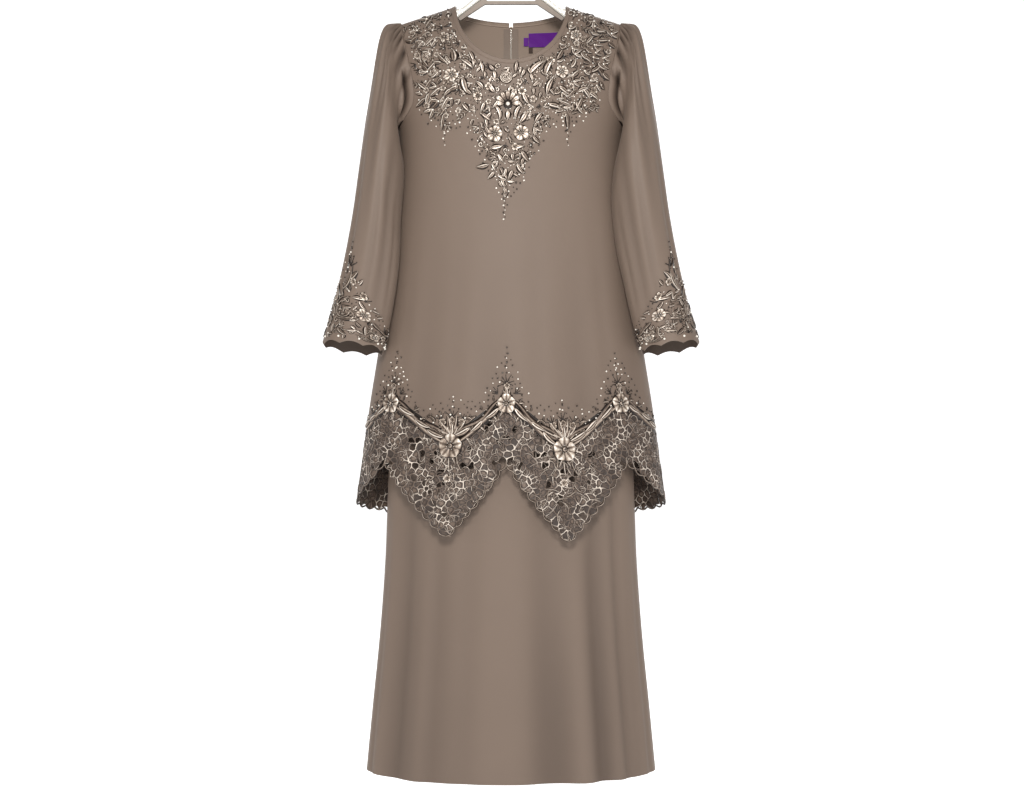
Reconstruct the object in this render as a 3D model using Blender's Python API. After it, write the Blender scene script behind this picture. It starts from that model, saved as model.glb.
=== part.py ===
"""A two-piece baju kurung on its hanger: a long tunic with an openwork zigzag hem, and the long skirt under it.

Lengths are in millimetres, and MM turns them into metres. The origin is where the rail bears inside the hook. +Z is up, the
front faces -Y, and left and right are the wearer's, so the left side is at +X.
"""
import math

import bmesh
import bpy
import numpy as np
from mathutils import Matrix, Vector
from mathutils.geometry import delaunay_2d_cdt

MM = 0.001
FRONT, BACK = -1, 1
LEFT, RIGHT = 1, -1

# Cloth
CLOTH = 1.3  # wall of the tunic and skirt
SLEEVE_CLOTH = 1.2
LACE_WALL = 1.5
SEAM = 0.3  # gap left along every seam
SLOPED_SEAM = 0.45  # the same, measured down z where the seam slopes
LIFT = 0.4  # gap under what is sewn on to a panel

# Shoulders, neck and armholes
NECK_X, NECK_Z = 93, -113  # where the neck edge crosses the shoulder seam
SHOULDER_X, SHOULDER_Z = 185, -143  # where the shoulder seam meets the sleeve
NECK_DROP = {FRONT: 102, BACK: 17}
BINDING_WIDTH = 7.5
TUNIC_MIDDLE = (0, 0, -500)
SHOULDER_ROUND = 120  # height over which the cloth rounds off the shoulder
UNDERARM_Z = -322
ARMHOLE = [  # z, x of the seam
    (-143, 185), (-170, 181), (-205, 173), (-245, 165), (-280, 163), (-302, 171), (-322, 190),
]

# Tunic: z, half width, depth in front, depth behind
BODY = [
    (-84, 212, 76, 70), (-144, 208, 78, 73), (-210, 205, 82, 76), (-275, 199, 86, 79), (-322, 190, 88, 81),
    (-400, 189, 89, 83), (-509, 200, 91, 85), (-600, 211, 94, 88), (-696, 225, 98, 92), (-790, 240, 103, 97),
    (-860, 249, 107, 101), (-953, 262, 112, 106), (-1030, 270, 116, 110),
]
BODY_FOLDS = {  # angle from the middle in degrees, spread in degrees, depth, z where it starts
    FRONT: [(-38, 9, 5.0, -420), (-9, 8, 3.5, -520), (30, 8, 5.0, -450), (62, 9, 4.5, -400)],
    BACK: [(-52, 10, 5.5, -380), (-18, 9, 4.5, -470), (14, 8, 4.0, -430), (44, 10, 5.5, -400)],
}
HEM = {  # angle from the middle, z of the cloth's edge, z of the lace's edge
    FRONT: [
        (-90, -838, -951), (-56.5, -788, -883), (-23.6, -858, -1006), (-1.8, -788, -882), (20.6, -864, -1014),
        (49.5, -788, -883), (90, -838, -951),
    ],
    BACK: [
        (-90, -838, -951), (-56, -846, -967), (-27, -862, -1006), (0, -788, -884), (27, -862, -1006),
        (56, -846, -967), (90, -838, -951),
    ],
}
HEM_ELLIPSE = (258, 106)  # the lace's middle section, on which lengths round it are measured
COLUMNS_PER_KEY = 4  # of a panel, between two corners of its zigzag
UPPER_ROWS, LOWER_ROWS = 8, 7  # above and below the underarm

# Openwork
MESH_PITCH, MESH_ROW = 30, 14.5  # between gaps along the hem, and between their staggered rows
MESH_HALF = (11.2, 9.8)  # half width and half height of a gap
MESH_EDGE = 5  # least cloth left between a gap and the lace's edges
SCALLOP_LENGTH, SCALLOP_DEPTH = 20, 4.5
SLIVER = 0.1  # twice the area of the smallest triangle kept in the lace
SLOPE_BOW = 3  # how far each slope of the zigzag bows out

# Sleeves: how far the ring is its own ellipse, x and z at its outer side, x at its inner side (right, left), z there,
# y of its middle, half depth, height of the gathers
SLEEVE = [
    (0.30, 198, -143.5, 190, 190, -335, -1, 46, 1.2),
    (0.65, 210, -150, 186, 184, -354, -6, 54, 3.2),
    (1.00, 219, -172, 181, 176, -378, -14, 58, 3.6),
    (1.00, 226, -208, 179, 170, -406, -24, 60, 2.8),
    (1.00, 235, -262, 182, 167, -444, -34, 60, 1.4),
    (1.00, 245, -322, 185, 170, -486, -42, 57, 0.6),
    (1.00, 255, -395, 186, 177, -534, -49, 52, 0.0),
    (1.00, 266, -475, 190, 187, -580, -54, 47, 0.0),
    (1.00, 281, -553, 197, 197, -624, -57, 43, 0.0),
    (1.00, 298, -622, 205, 207, -661, -58, 41, 0.0),
    (1.00, 315, -677, 213, 218, -690, -59, 42, 0.0),
]
SLEEVE_FOLDS = [  # turn from the outer side in degrees, spread, depth, first ring, last ring
    (58, 13, 4.5, 1, 7), (118, 14, 5.0, 2, 10), (272, 17, 3.4, 2, 9), (310, 14, 4.0, 1, 7),
]
GATHER_TURN = 30  # degrees from one gather of the sleeve head to the next
GATHER_REACH = 80
CUFF_DROP = 8  # the cuff's back edge hangs lower than its front by twice this
CUFF_SCALLOP = 5
ARM_CLEARANCE = 3.2  # least distance from a sleeve to the tunic's side

# Skirt: z, half width, depth in front, depth behind
SKIRT = [
    (-440, 150, 56, 53), (-560, 170, 64, 60), (-720, 190, 76, 72), (-870, 206, 86, 82), (-960, 210, 88, 84),
    (-1060, 214, 90, 86), (-1180, 223, 93, 89), (-1300, 235, 96, 93), (-1425, 247, 99, 96),
]
SKIRT_FOLDS = {
    FRONT: [(-62, 6, 6.0, -560), (-47, 6, 7.5, -700), (-28, 6, 4.5, -840), (14, 7, 5.0, -860), (43, 7, 10.0, -640),
            (64, 6, 5.5, -900)],
    BACK: [(-55, 7, 8.0, -620), (-30, 7, 5.5, -760), (-8, 7, 7.0, -700), (22, 8, 6.0, -800), (50, 7, 9.0, -640)],
}
SKIRT_HEM = (-1408, -1418)  # z at the side seams and in the middle
SKIRT_COLUMNS, SKIRT_ROWS = 24, 9
WAISTBAND_TOP = -405
WAISTBAND_WALL = 2.0

# Applique
CORD_RADIUS = 2.2
YOKE_FLOWERS = [  # x, z, radius
    (-5, -291, 17), (-28, -340, 12.5), (17, -335, 12.5), (-100, -240, 13), (-110, -170, 11), (109, -170, 11),
    (85, -234, 12),
]
HEM_FLOWER_RADIUS = {"peak": 17, "point": 21}
CUFF_FLOWERS = [(8.9, 76, 11), (8.5, 137, 9)]  # ring, turn in degrees, radius
FLOWER_RISE = 3.0

# Zip and label
ZIP_END = -530
TAPE = (2.4, 13)  # x of each tape's edges
CHAIN_HALF = 1.7
SLIDER = (5.0, 10.5, 6.6)  # width, depth, height
PULL = (1.6, 20, 5.2, 2.4)  # thickness, length, width, width between the slider's cheeks
PULL_SLOPE = math.radians(18)
LABEL = (31, 84, -147, -170)  # x from, to, z top, bottom
SIZE_TAB = (22.4, 30.6, -154, -168)
FOLD_TAB = (31, 38, -170.6, -179.5)

# Hanger
HANGER_HALF, HANGER_BEVEL = 6.0, 2.4
HANGER_TOP = [(0, -60), (16, -64), (38, -80), (66, -102), (82, -115), (93, -117.8), (118, -124.4)]
NOTCH = (118, 129, 3.2)  # x from, to, depth
HANGER_TIP = (166, -141)
HANGER_UNDER = [(160, -153), (118, -140.5), (94, -135), (46, -97.5), (20, -77), (0, -73)]
STRIP_TOP = [(90, -132.6), (46, -98.1), (40, -103.8)]  # x and z of one half, from the arm's end to the flat bar
STRIP_UNDER = [(44.2, -109.3), (86.5, -137.2)]
STRIP_HALF = 4.2
WIRE = 1.9
HOOK_RADIUS = 22

HERE = bpy.data.collections.new("baju_kurung")
CUTTERS = bpy.data.collections.new("cutters")


# ---------------------------------------------------------------- finishes and helpers

def linear(*rgb):
    return [((c / 255 + 0.055) / 1.055) ** 2.4 for c in rgb] + [1]


def finish(name, colour, roughness, metallic=0.0):
    material = bpy.data.materials.get(name) or bpy.data.materials.new(name)
    material.use_nodes = True
    shader = material.node_tree.nodes["Principled BSDF"]
    shader.inputs["Base Color"].default_value = linear(*colour)
    shader.inputs["Roughness"].default_value = roughness
    shader.inputs["Metallic"].default_value = metallic
    return material


FINISHES = {
    "crepe": ((145, 129, 116), 0.62, 0.0),
    "lace": ((150, 134, 120), 0.6, 0.0),
    "thread": ((196, 178, 160), 0.42, 0.0),
    "binding": ((138, 122, 108), 0.55, 0.0),
    "purple": ((92, 26, 132), 0.6, 0.0),
    "brown": ((84, 66, 56), 0.7, 0.0),
    "zip": ((128, 112, 100), 0.6, 0.0),
    "slider": ((150, 134, 120), 0.35, 0.8),
    "wood": ((244, 241, 230), 0.45, 0.0),
    "strip": ((150, 136, 124), 0.6, 0.0),
    "wire": ((205, 205, 205), 0.2, 1.0),
}


def keep(name, mesh, look):
    """An object for a sub-part, in the object's collection."""
    thing = bpy.data.objects.new(name, mesh)
    mesh.name = name
    mesh.materials.clear()
    mesh.materials.append(finish(look, *FINISHES[look]))
    HERE.objects.link(thing)
    return thing


def read(rows, at, column):
    """A table's column at a height, on one smooth curve through its rows, which run downward."""
    at = min(max(at, rows[-1][0]), rows[0][0])
    last = len(rows) - 1
    n = next(i for i in range(last) if at >= rows[i + 1][0])
    before, upper, lower, after = rows[max(n - 1, 0)], rows[n], rows[n + 1], rows[min(n + 2, last)]
    span = lower[0] - upper[0]
    t = (at - upper[0]) / span
    start = (lower[column] - before[column]) / (lower[0] - before[0]) * span
    end = (after[column] - upper[column]) / (after[0] - upper[0]) * span
    return (upper[column] * (2 * t**3 - 3 * t**2 + 1) + lower[column] * (3 * t**2 - 2 * t**3)
            + start * (t**3 - 2 * t**2 + t) + end * (t**3 - t**2))


def ease(t):
    return t * t * (3 - 2 * t)


def trough(folds, angle, z, bottom):
    """How far the folds pull the cloth in at an angle and a height."""
    total = 0.0
    for middle, spread, depth, start in folds:
        if z < start:
            total += depth * ease(min(1, (start - z) / (start - bottom))) * math.exp(-((angle - middle) / spread) ** 2)
    return total


# ---------------------------------------------------------------- cloth from a surface

def thicken(bm, wall, held, facing=None):
    """Closes an open surface into a wall. held gives, for a seam's vertex, the (axis, sign) rules that keep its inner
    edge on its own side of the seam: sign 0 allows no lean along that axis, and -1 or 1 only a lean that way. facing
    gives the direction of the wall at a vertex where it isn't the surface's own normal."""
    bm.normal_update()
    outer = list(bm.verts)
    normals = []
    for vertex in outer:
        normal = ((facing or {}).get(vertex) or vertex.normal).copy()
        for axis, sign in held.get(vertex, ()):
            if sign == 0 or normal[axis] * sign < 0:
                normal[axis] = 0
        normals.append(normal.normalized())
    faces, rim = list(bm.faces), [e for e in bm.edges if len(e.link_faces) == 1]
    ends = [(e.link_loops[0].vert, e.link_loops[0].link_loop_next.vert) for e in rim]
    inner = {v: bm.verts.new(v.co - n * wall * MM) for v, n in zip(outer, normals)}
    for face in faces:
        bm.faces.new([inner[v] for v in reversed(face.verts)])
    for a, b in ends:
        bm.faces.new((b, a, inner[a], inner[b]))


def closed_mesh(bm):
    """The finished mesh, with its faces turned outward."""
    bmesh.ops.recalc_face_normals(bm, faces=bm.faces)
    if bm.calc_volume(signed=True) < 0:
        bmesh.ops.reverse_faces(bm, faces=bm.faces)
    mesh = bpy.data.meshes.new("cloth")
    bm.to_mesh(mesh)
    bm.free()
    mesh.shade_smooth()
    mesh.set_sharp_from_angle(angle=math.radians(40))
    return mesh


def sheet(columns, wall, inside, rules=None, ring=False, facings=None):
    """A cloth wall from columns of outer points. inside is a point that its faces turn away from, ring joins the last
    column to the first, rules(column, row) gives a seam's rules for thicken, and facings each column's bottom one."""
    bm = bmesh.new()
    grid = [[bm.verts.new(Vector(p) * MM) for p in column] for column in columns]
    pairs = list(zip(grid, grid[1:])) + ([(grid[-1], grid[0])] if ring else [])
    for left, right in pairs:
        for row in range(len(left) - 1):
            bm.faces.new((left[row], right[row], right[row + 1], left[row + 1]))
    bmesh.ops.triangulate(bm, faces=bm.faces, quad_method="SHORT_EDGE")
    bm.normal_update()
    middle = Vector(inside) * MM
    if sum((f.calc_center_median() - middle).dot(f.normal) * f.calc_area() for f in bm.faces) < 0:
        bmesh.ops.reverse_faces(bm, faces=bm.faces)
    held = {}
    if rules:
        held = {v: rules(i, j) for i, column in enumerate(grid) for j, v in enumerate(column)}
    facing = {column[-1]: direction for column, direction in zip(grid, facings or [])}
    thicken(bm, wall, held, facing)
    return closed_mesh(bm)


# ---------------------------------------------------------------- the tunic's surface

def shoulder_z(x):
    return NECK_Z - (abs(x) - NECK_X) * (NECK_Z - SHOULDER_Z) / (SHOULDER_X - NECK_X)


def edge_x(z):
    """x of a panel's edge: the armhole, and below it the side seam."""
    return read(ARMHOLE, z, 1) if z > UNDERARM_Z else read(BODY, z, 1)


def body_xyz(side, s, z):
    """The tunic's outer surface, where s goes from -1 to 1 across a panel."""
    x = s * edge_x(z)
    across = min(1, abs(x) / read(BODY, z, 1))
    depth = read(BODY, z, 2 if side == FRONT else 3) * math.sqrt(1 - across**2)
    drop = min(max((shoulder_z(x) - z) / SHOULDER_ROUND, 0), 1)
    depth *= math.sqrt(1 - (1 - drop) ** 2)
    angle = math.degrees(math.asin(max(-1, min(1, s))))
    depth -= trough(BODY_FOLDS[side], angle, z, HEM[side][0][1]) * math.sqrt(1 - across**2)
    return Vector((x, side * (SEAM / 2 + max(depth, 0)), z))


def moved_out(surface, u, v, out, step=0.4, scale=1.0):
    """A point of a surface(u, v), moved out along its normal. scale is u's step for one of v."""
    du, dv = step * scale, step
    across = surface(u + du, v) - surface(u - du, v)
    down = surface(u, v - dv) - surface(u, v + dv)
    normal = across.cross(down).normalized()
    return surface(u, v) + normal * out


def on_body(side, x, z, out):
    """A point over the tunic at x, z. out is positive outward."""
    def surface(u, v):
        return body_xyz(side, u, v)
    s = x / edge_x(z)
    point = moved_out(surface, s, z, out, scale=1 / 250)
    return point if (point - surface(s, z)).y * side * out >= 0 else 2 * surface(s, z) - point


ANGLES = np.radians(np.arange(-90, 91))
STEPS = np.hypot(np.diff(HEM_ELLIPSE[0] * np.sin(ANGLES)), np.diff(HEM_ELLIPSE[1] * np.cos(ANGLES)))
ARC = np.concatenate(([0], np.cumsum(STEPS)))
ARC -= ARC[90]


def length_at(angle):
    """Distance round the hem from its middle."""
    return float(np.interp(angle, np.degrees(ANGLES), ARC))


def angle_at(length):
    return float(np.interp(length, ARC, np.degrees(ANGLES)))


def on_hem(side, length, z, out=0.0):
    s = math.sin(math.radians(angle_at(length)))
    return on_body(side, s * edge_x(z), z, out) if out else body_xyz(side, s, z)


def hem_facing(side, length, z, span=2.0, drop=5.0):
    """The way the tunic faces at a distance round the hem, level."""
    angle = max(span - 90, min(90 - span, angle_at(length)))

    def surface(turn, height):
        return body_xyz(side, math.sin(math.radians(turn)), height)
    across = surface(angle + span, z) - surface(angle - span, z)
    normal = across.cross(surface(angle, z - drop) - surface(angle, z + drop))
    normal.z = 0
    return normal.normalized() * (1 if normal.dot(surface(angle, z)) > 0 else -1)


def hem_z(side, length, column):
    """z of the cloth's edge (column 1) or the lace's (column 2) at a distance round the hem."""
    keys = HEM[side]
    return float(np.interp(length, [length_at(k[0]) for k in keys], [k[column] for k in keys]))


def hem_lengths(side):
    """Where a panel's columns reach the zigzag."""
    keys = [length_at(k[0]) for k in HEM[side]]
    steps = [np.linspace(a, b, COLUMNS_PER_KEY, endpoint=False) for a, b in zip(keys, keys[1:])]
    return [float(length) for length in np.concatenate(steps)] + [keys[-1]]


# ---------------------------------------------------------------- tunic panels

def neck_edge(side, turn, margin):
    """x and z on the neck's edge, margin outside it. turn is 0 at the right shoulder and 1 at the left."""
    reach = NECK_X + margin
    return (-reach * math.cos(math.pi * turn),
            shoulder_z(reach) - (NECK_DROP[side] + 0.75 * margin) * math.sin(math.pi * turn))


def panel_tops(side):
    """x and z of each column's top: a shoulder seam, the neck, and the other shoulder seam."""
    count = COLUMNS_PER_KEY
    inner = NECK_X + BINDING_WIDTH
    seam = [SHOULDER_X + (inner - SHOULDER_X) * k / count for k in range(count)]
    neck = 4 * count
    tops = [(-x, shoulder_z(x)) for x in seam]
    tops += [neck_edge(side, ease(k / neck), BINDING_WIDTH) for k in range(neck + 1)]
    return tops + [(x, shoulder_z(x)) for x in reversed(seam)]


def panel_columns(side):
    """Columns of a panel's outer points, from the right side to the left."""
    columns = []
    low_neck = NECK_Z - NECK_DROP[FRONT]
    for (x, top), length in zip(panel_tops(side), hem_lengths(side)):
        bottom = hem_z(side, length, 1)
        s_top, s_bottom = x / edge_x(top), math.sin(math.radians(angle_at(length)))
        crowd = 0.9 + 0.3 * min(1, max(0, (top - low_neck) / (NECK_Z - low_neck)))
        heights = [top + (UNDERARM_Z - top) * ease((row / UPPER_ROWS) ** crowd) for row in range(UPPER_ROWS)]
        heights += [UNDERARM_Z + (bottom - UNDERARM_Z) * row / LOWER_ROWS for row in range(LOWER_ROWS + 1)]
        shares = [(top - z) / (top - bottom) for z in heights]
        columns.append([body_xyz(side, s_top + (s_bottom - s_top) * v, z) for v, z in zip(shares, heights)])
    return columns


def panel_rules(columns, first, centre_edge):
    """Seam rules for a panel whose first column is number first of the whole row of columns."""
    last, bottom = 6 * COLUMNS_PER_KEY, UPPER_ROWS + LOWER_ROWS

    def rules(i, j):
        column, found = i + first, []
        side = -1 if column == 0 else 1
        if column in (0, last):
            found.append((0, side) if j < UPPER_ROWS else (1, 0))
            if j == 0:
                found.append((1, 0))
        if j == 0 and not COLUMNS_PER_KEY < column < last - COLUMNS_PER_KEY:
            found.append((1, 0))
        if j == bottom:
            found.append((2, 0))
        if column == centre_edge:
            found.append((0, 0))
        return found
    return rules


def panel_facings(side):
    return [hem_facing(side, length, hem_z(side, length, 1)) for length in hem_lengths(side)]


def make_front():
    columns = panel_columns(FRONT)
    mesh = sheet(columns, CLOTH, TUNIC_MIDDLE, panel_rules(columns, 0, None), facings=panel_facings(FRONT))
    keep("tunic_front", mesh, "crepe")


def make_backs():
    """Two panels, a seam's gap apart at the centre back zip."""
    columns, facings = panel_columns(BACK), panel_facings(BACK)
    centre = len(columns) // 2
    for name, part, side in (("tunic_back_right", slice(0, centre + 1), RIGHT),
                             ("tunic_back_left", slice(centre, None), LEFT)):
        points = [[p.copy() for p in column] for column in columns[part]]
        for p in points[-1 if side == RIGHT else 0]:
            p.x = side * SEAM / 2
        rules = panel_rules(points, part.start, centre)
        keep(name, sheet(points, CLOTH, TUNIC_MIDDLE, rules, facings=facings[part]), "crepe")


def make_binding():
    """A narrow strip round the neck that stops each side of the zip."""
    gap = SLIDER[0] / 2 + 0.6
    stop = math.acos(gap / NECK_X) / math.pi
    count = 4 * COLUMNS_PER_KEY
    back = [ease(k / count) for k in range(count // 2)] + [stop]
    turns = [(BACK, 1 - t) for t in reversed(back)] + [(FRONT, 1 - ease(k / count)) for k in range(1, count)]
    turns += [(BACK, t) for t in back]
    columns = []
    for side, turn in turns:
        column = []
        for margin, out in ((0, 0.1), (BINDING_WIDTH * 0.45, 0.9), (BINDING_WIDTH - 0.9, 0.3)):
            x, z = neck_edge(side, turn, margin)
            point = on_body(side, x, z, out)
            if turn in (0, 1):
                point = Vector((x, 0, z + out))
            column.append(point)
        columns.append(column)
    keep("neck_binding", sheet(columns, 1.7, (0, 0, -300)), "binding")


# ---------------------------------------------------------------- sleeves

def armhole_loop(sign):
    """The seam from the shoulder down the front and up the back, two steps for each step of the panels' edges."""
    edge = {side: panel_columns(side)[0 if sign == RIGHT else -1][:UPPER_ROWS + 1] for side in (FRONT, BACK)}
    corners = edge[FRONT] + list(reversed(edge[BACK]))[1:-1]
    corners[0] = corners[0].copy()
    corners[0].y = corners[UPPER_ROWS].y = 0
    loop = []
    for a, b in zip(corners, corners[1:] + corners[:1]):
        loop += [a, (a + b) / 2]
    return [p + Vector((sign * SEAM, 0, 0)) for p in loop]


def clear_of_body(point):
    """The point, moved out of the tunic's side if it lies in it."""
    if point.z > UNDERARM_Z + 12:
        return point
    width, front, back = (read(BODY, point.z, column) for column in (1, 2, 3))
    depth = front if point.y < 0 else back
    reach = math.hypot(point.x / (width + ARM_CLEARANCE), point.y / (depth + ARM_CLEARANCE))
    if reach >= 1:
        return point
    return Vector((point.x / reach, point.y / reach, point.z))


def sleeve_rows(sign):
    """The table's rows for one sleeve: the inner x is the one of its side."""
    inner = 3 if sign == RIGHT else 4
    return [(row[0], row[1], row[2], row[inner], *row[5:]) for row in SLEEVE]


def sleeve_point(sign, ring, turn, loop_point=None):
    """The sleeve's outer surface at a ring, which need not be whole, and a turn in degrees from its outer side by the
    front. loop_point is the armhole's point that the first rings keep some of."""
    rows = sleeve_rows(sign)
    low = min(int(ring), len(rows) - 2)
    part = ring - low
    own, outer_x, outer_z, inner_x, inner_z, middle_y, depth, gather = (
        a + (b - a) * part for a, b in zip(rows[low], rows[low + 1]))
    theta = math.radians(turn)
    swell = 0.0
    off_top = min(turn, 360 - turn)
    if off_top < GATHER_REACH:
        swell += gather * math.cos(math.radians(turn) * 360 / GATHER_TURN) * ease(1 - off_top / GATHER_REACH)
    for middle, spread, deep, first, last in SLEEVE_FOLDS:
        along = (ring - first) / (last - first)
        if 0 < along < 1:
            swell -= deep * math.sin(math.pi * along) * math.exp(-((turn - middle) / spread) ** 2)
    c, s = math.cos(theta), math.sin(theta)
    x = (outer_x + inner_x) / 2 + ((outer_x - inner_x) / 2 + swell) * c
    z = (outer_z + inner_z) / 2 + ((outer_z - inner_z) / 2 + swell * 0.6) * c
    y = middle_y - (depth + swell) * s
    z -= CUFF_DROP * (1 - s) * max(0, ring - 7) / (len(rows) - 8)
    point = Vector((sign * x, y, z))
    if loop_point is not None and own < 1:
        moved = loop_point + Vector((sign * (outer_x - SHOULDER_X), middle_y, 0))
        point = moved.lerp(point, own)
    return clear_of_body(point)


def on_sleeve(sign, ring, turn, out):
    def surface(u, v):
        return sleeve_point(sign, v, u)
    point = moved_out(surface, turn, ring, out, step=0.05, scale=20)
    centre = (surface(turn, ring) + surface(turn + 180, ring)) / 2
    if ((point - surface(turn, ring)).dot(surface(turn, ring) - centre)) * out < 0:
        point = 2 * surface(turn, ring) - point
    return point


def make_sleeve(name, sign):
    loop = armhole_loop(sign)
    count = len(loop)
    last = len(SLEEVE) - 1
    columns = []
    for k, start in enumerate(loop):
        turn = 360 * k / count
        column = [start] + [sleeve_point(sign, ring, turn, start) for ring in range(last + 1)]
        column[-1].z -= CUFF_SCALLOP * (1 - abs(math.cos(math.pi * k / 4)))
        columns.append(column)

    def rules(i, j):
        return [(0, -sign)] if j == 0 else []
    keep(name, sheet(columns, SLEEVE_CLOTH, (sign * 225, -35, -400), rules, ring=True), "crepe")


# ---------------------------------------------------------------- openwork hem

def lace_bottom(side):
    """The lace's lower edge in (distance round the hem, z): small scallops down each slope of the zigzag."""
    keys = [Vector((length_at(angle), z)) for angle, _, z in HEM[side]]
    edge = [keys[0]]
    for start, end in zip(keys, keys[1:]):
        count = max(2, round((end - start).length / SCALLOP_LENGTH))
        along = (end - start).normalized()
        outward = Vector((-along.y, along.x))
        if outward.y > 0:
            outward.negate()
        for k in range(1, 2 * count + 1):
            bow = SLOPE_BOW * math.sin(math.pi * k / (2 * count)) + SCALLOP_DEPTH * (k % 2)
            edge.append(start.lerp(end, k / (2 * count)) + outward * bow)
    return edge


def lace_gaps(side):
    """The net's larger gaps, four-cornered and a little uneven, in staggered rows."""
    gaps = []
    half_width, half_height = MESH_HALF
    reach = length_at(90) - half_width - MESH_EDGE / 2
    top = max(z for _, z, _ in HEM[side]) - half_height - MESH_EDGE
    bottom = min(z for _, _, z in HEM[side])
    for row in range(int((top - bottom) / MESH_ROW)):
        first = -reach + (MESH_PITCH / 2 if row % 2 else 0)
        for k in range(int((reach - first) / MESH_PITCH) + 1):
            wobble = math.sin(12.9 * k + 7.3 * row + side)
            length, z = first + k * MESH_PITCH, top - row * MESH_ROW + 0.8 * wobble
            gap = []
            for corner in range(4):
                size = 0.94 + 0.08 * math.sin(2.7 * corner + 5.1 * k + row)
                angle = math.tau * corner / 4 + 0.12 * wobble
                gap.append(Vector((length + size * half_width * math.cos(angle),
                                   z + size * half_height * math.sin(angle))))
            over = min(hem_z(side, p.x, 1) - p.y for p in gap)
            under = min(p.y - hem_z(side, p.x, 2) for p in gap)
            if over > MESH_EDGE and under > MESH_EDGE:
                gaps.append(gap)
    return gaps


def inside_polygon(point, corners):
    """Whether a point is inside a polygon."""
    crossings = 0
    for a, b in zip(corners, corners[1:] + corners[:1]):
        if (a.y > point.y) != (b.y > point.y):
            crossings += point.x < a.x + (b.x - a.x) * (point.y - a.y) / (b.y - a.y)
    return crossings % 2 == 1


def make_lace(name, side):
    top = [Vector((length, hem_z(side, length, 1) - SLOPED_SEAM)) for length in hem_lengths(side)]
    outline = top + list(reversed(lace_bottom(side)))
    gaps = lace_gaps(side)
    points, edges = [], []
    for loop in [outline] + gaps:
        start = len(points)
        edges += [(start + k, start + (k + 1) % len(loop)) for k in range(len(loop))]
        points += loop
    flat, _, triangles, *_ = delaunay_2d_cdt(points, edges, [], 0, 1e-6)
    bm = bmesh.new()
    verts = [bm.verts.new(on_hem(side, p.x, p.y) * MM) for p in flat]
    for corners in triangles:
        a, b, c = (flat[corner] for corner in corners)
        if abs((b - a).cross(c - a)) < SLIVER:
            continue
        middle = (a + b + c) / 3
        if inside_polygon(middle, outline) and not any(inside_polygon(middle, gap) for gap in gaps):
            bm.faces.new([verts[c] for c in corners])
    used = [(v, p) for v, p in zip(verts, flat) if v.link_faces]
    bmesh.ops.delete(bm, geom=[v for v in bm.verts if not v.link_faces], context="VERTS")
    bm.normal_update()
    if sum(f.normal.y * f.calc_area() for f in bm.faces) * side < 0:
        bmesh.ops.reverse_faces(bm, faces=bm.faces)
    held = {v: [(1, 0)] for v, p in used if abs(p.x) > length_at(90) - 0.01}
    facing = {v: hem_facing(side, p.x, p.y) for v, p in used}
    thicken(bm, LACE_WALL, held, facing)
    keep(name, closed_mesh(bm), "lace")


def make_cord(name, side):
    """The padded cord over the seam between the cloth and the lace."""
    ends = hem_lengths(side)
    inset = CORD_RADIUS + 1
    lengths = [ends[0] + inset, *ends[1:-1], ends[-1] - inset]
    path = [on_hem(side, length, hem_z(side, length, 1), CORD_RADIUS + LIFT) for length in lengths]
    keep(name, tube(path, CORD_RADIUS, 1), "thread")


def tube(path, radius, resolution):
    """A round tube along a path, as a closed mesh."""
    curve = bpy.data.curves.new("tube", "CURVE")
    curve.dimensions = "3D"
    curve.bevel_depth = radius * MM
    curve.bevel_resolution = resolution
    curve.use_fill_caps = True
    spline = curve.splines.new("POLY")
    spline.points.add(len(path) - 1)
    for point, place in zip(spline.points, path):
        point.co = (*(Vector(place) * MM), 1)
    return welded(curve)


def welded(curve):
    """A curve's mesh, with its caps joined to its sides."""
    guide = bpy.data.objects.new("guide", curve)
    bpy.context.scene.collection.objects.link(guide)
    mesh = bpy.data.meshes.new_from_object(guide.evaluated_get(bpy.context.evaluated_depsgraph_get()))
    bpy.data.objects.remove(guide)
    bm = bmesh.new()
    bm.from_mesh(mesh)
    bmesh.ops.remove_doubles(bm, verts=bm.verts, dist=0.00001)
    return closed_mesh(bm)


def plate(outline, half, bevel=0.0):
    """A flat outline in x and z, given a thickness of twice half along y."""
    curve = bpy.data.curves.new("plate", "CURVE")
    curve.dimensions = "2D"
    curve.fill_mode = "BOTH"
    curve.extrude = (half - bevel) * MM
    curve.bevel_depth = bevel * MM
    curve.bevel_resolution = 1
    curve.offset = -bevel * MM
    spline = curve.splines.new("POLY")
    spline.use_cyclic_u = True
    spline.points.add(len(outline) - 1)
    for point, (x, z) in zip(spline.points, outline):
        point.co = (x * MM, z * MM, 0, 1)
    mesh = welded(curve)
    mesh.transform(Matrix.Rotation(math.radians(90), 4, "X"))
    return mesh


# ---------------------------------------------------------------- applique

def flower(name, place, radius, lift, petals=5):
    """A padded flower. place(dx, dz, out) gives a point over the cloth near the flower's middle."""
    bm = bmesh.new()
    count = 3 * petals
    rims = []
    for out in (lift, lift + FLOWER_RISE * 0.6):
        ring = []
        for k in range(count):
            reach = radius * (0.62 if k % 3 == 0 else 1)
            turn = math.tau * (k + (0, -0.28, 0.28)[k % 3]) / count + math.pi / 2
            ring.append(bm.verts.new(place(reach * math.cos(turn), reach * math.sin(turn), out) * MM))
        rims.append(ring)
    foot, rim = rims
    middles = [bm.verts.new(place(0, 0, out) * MM) for out in (lift, lift + FLOWER_RISE)]
    for k in range(count):
        n = (k + 1) % count
        bm.faces.new((foot[k], foot[n], rim[n], rim[k]))
        for ring, middle in zip(rims, middles):
            bm.faces.new((middle, ring[k], ring[n]))
    keep(name, closed_mesh(bm), "thread")


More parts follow.
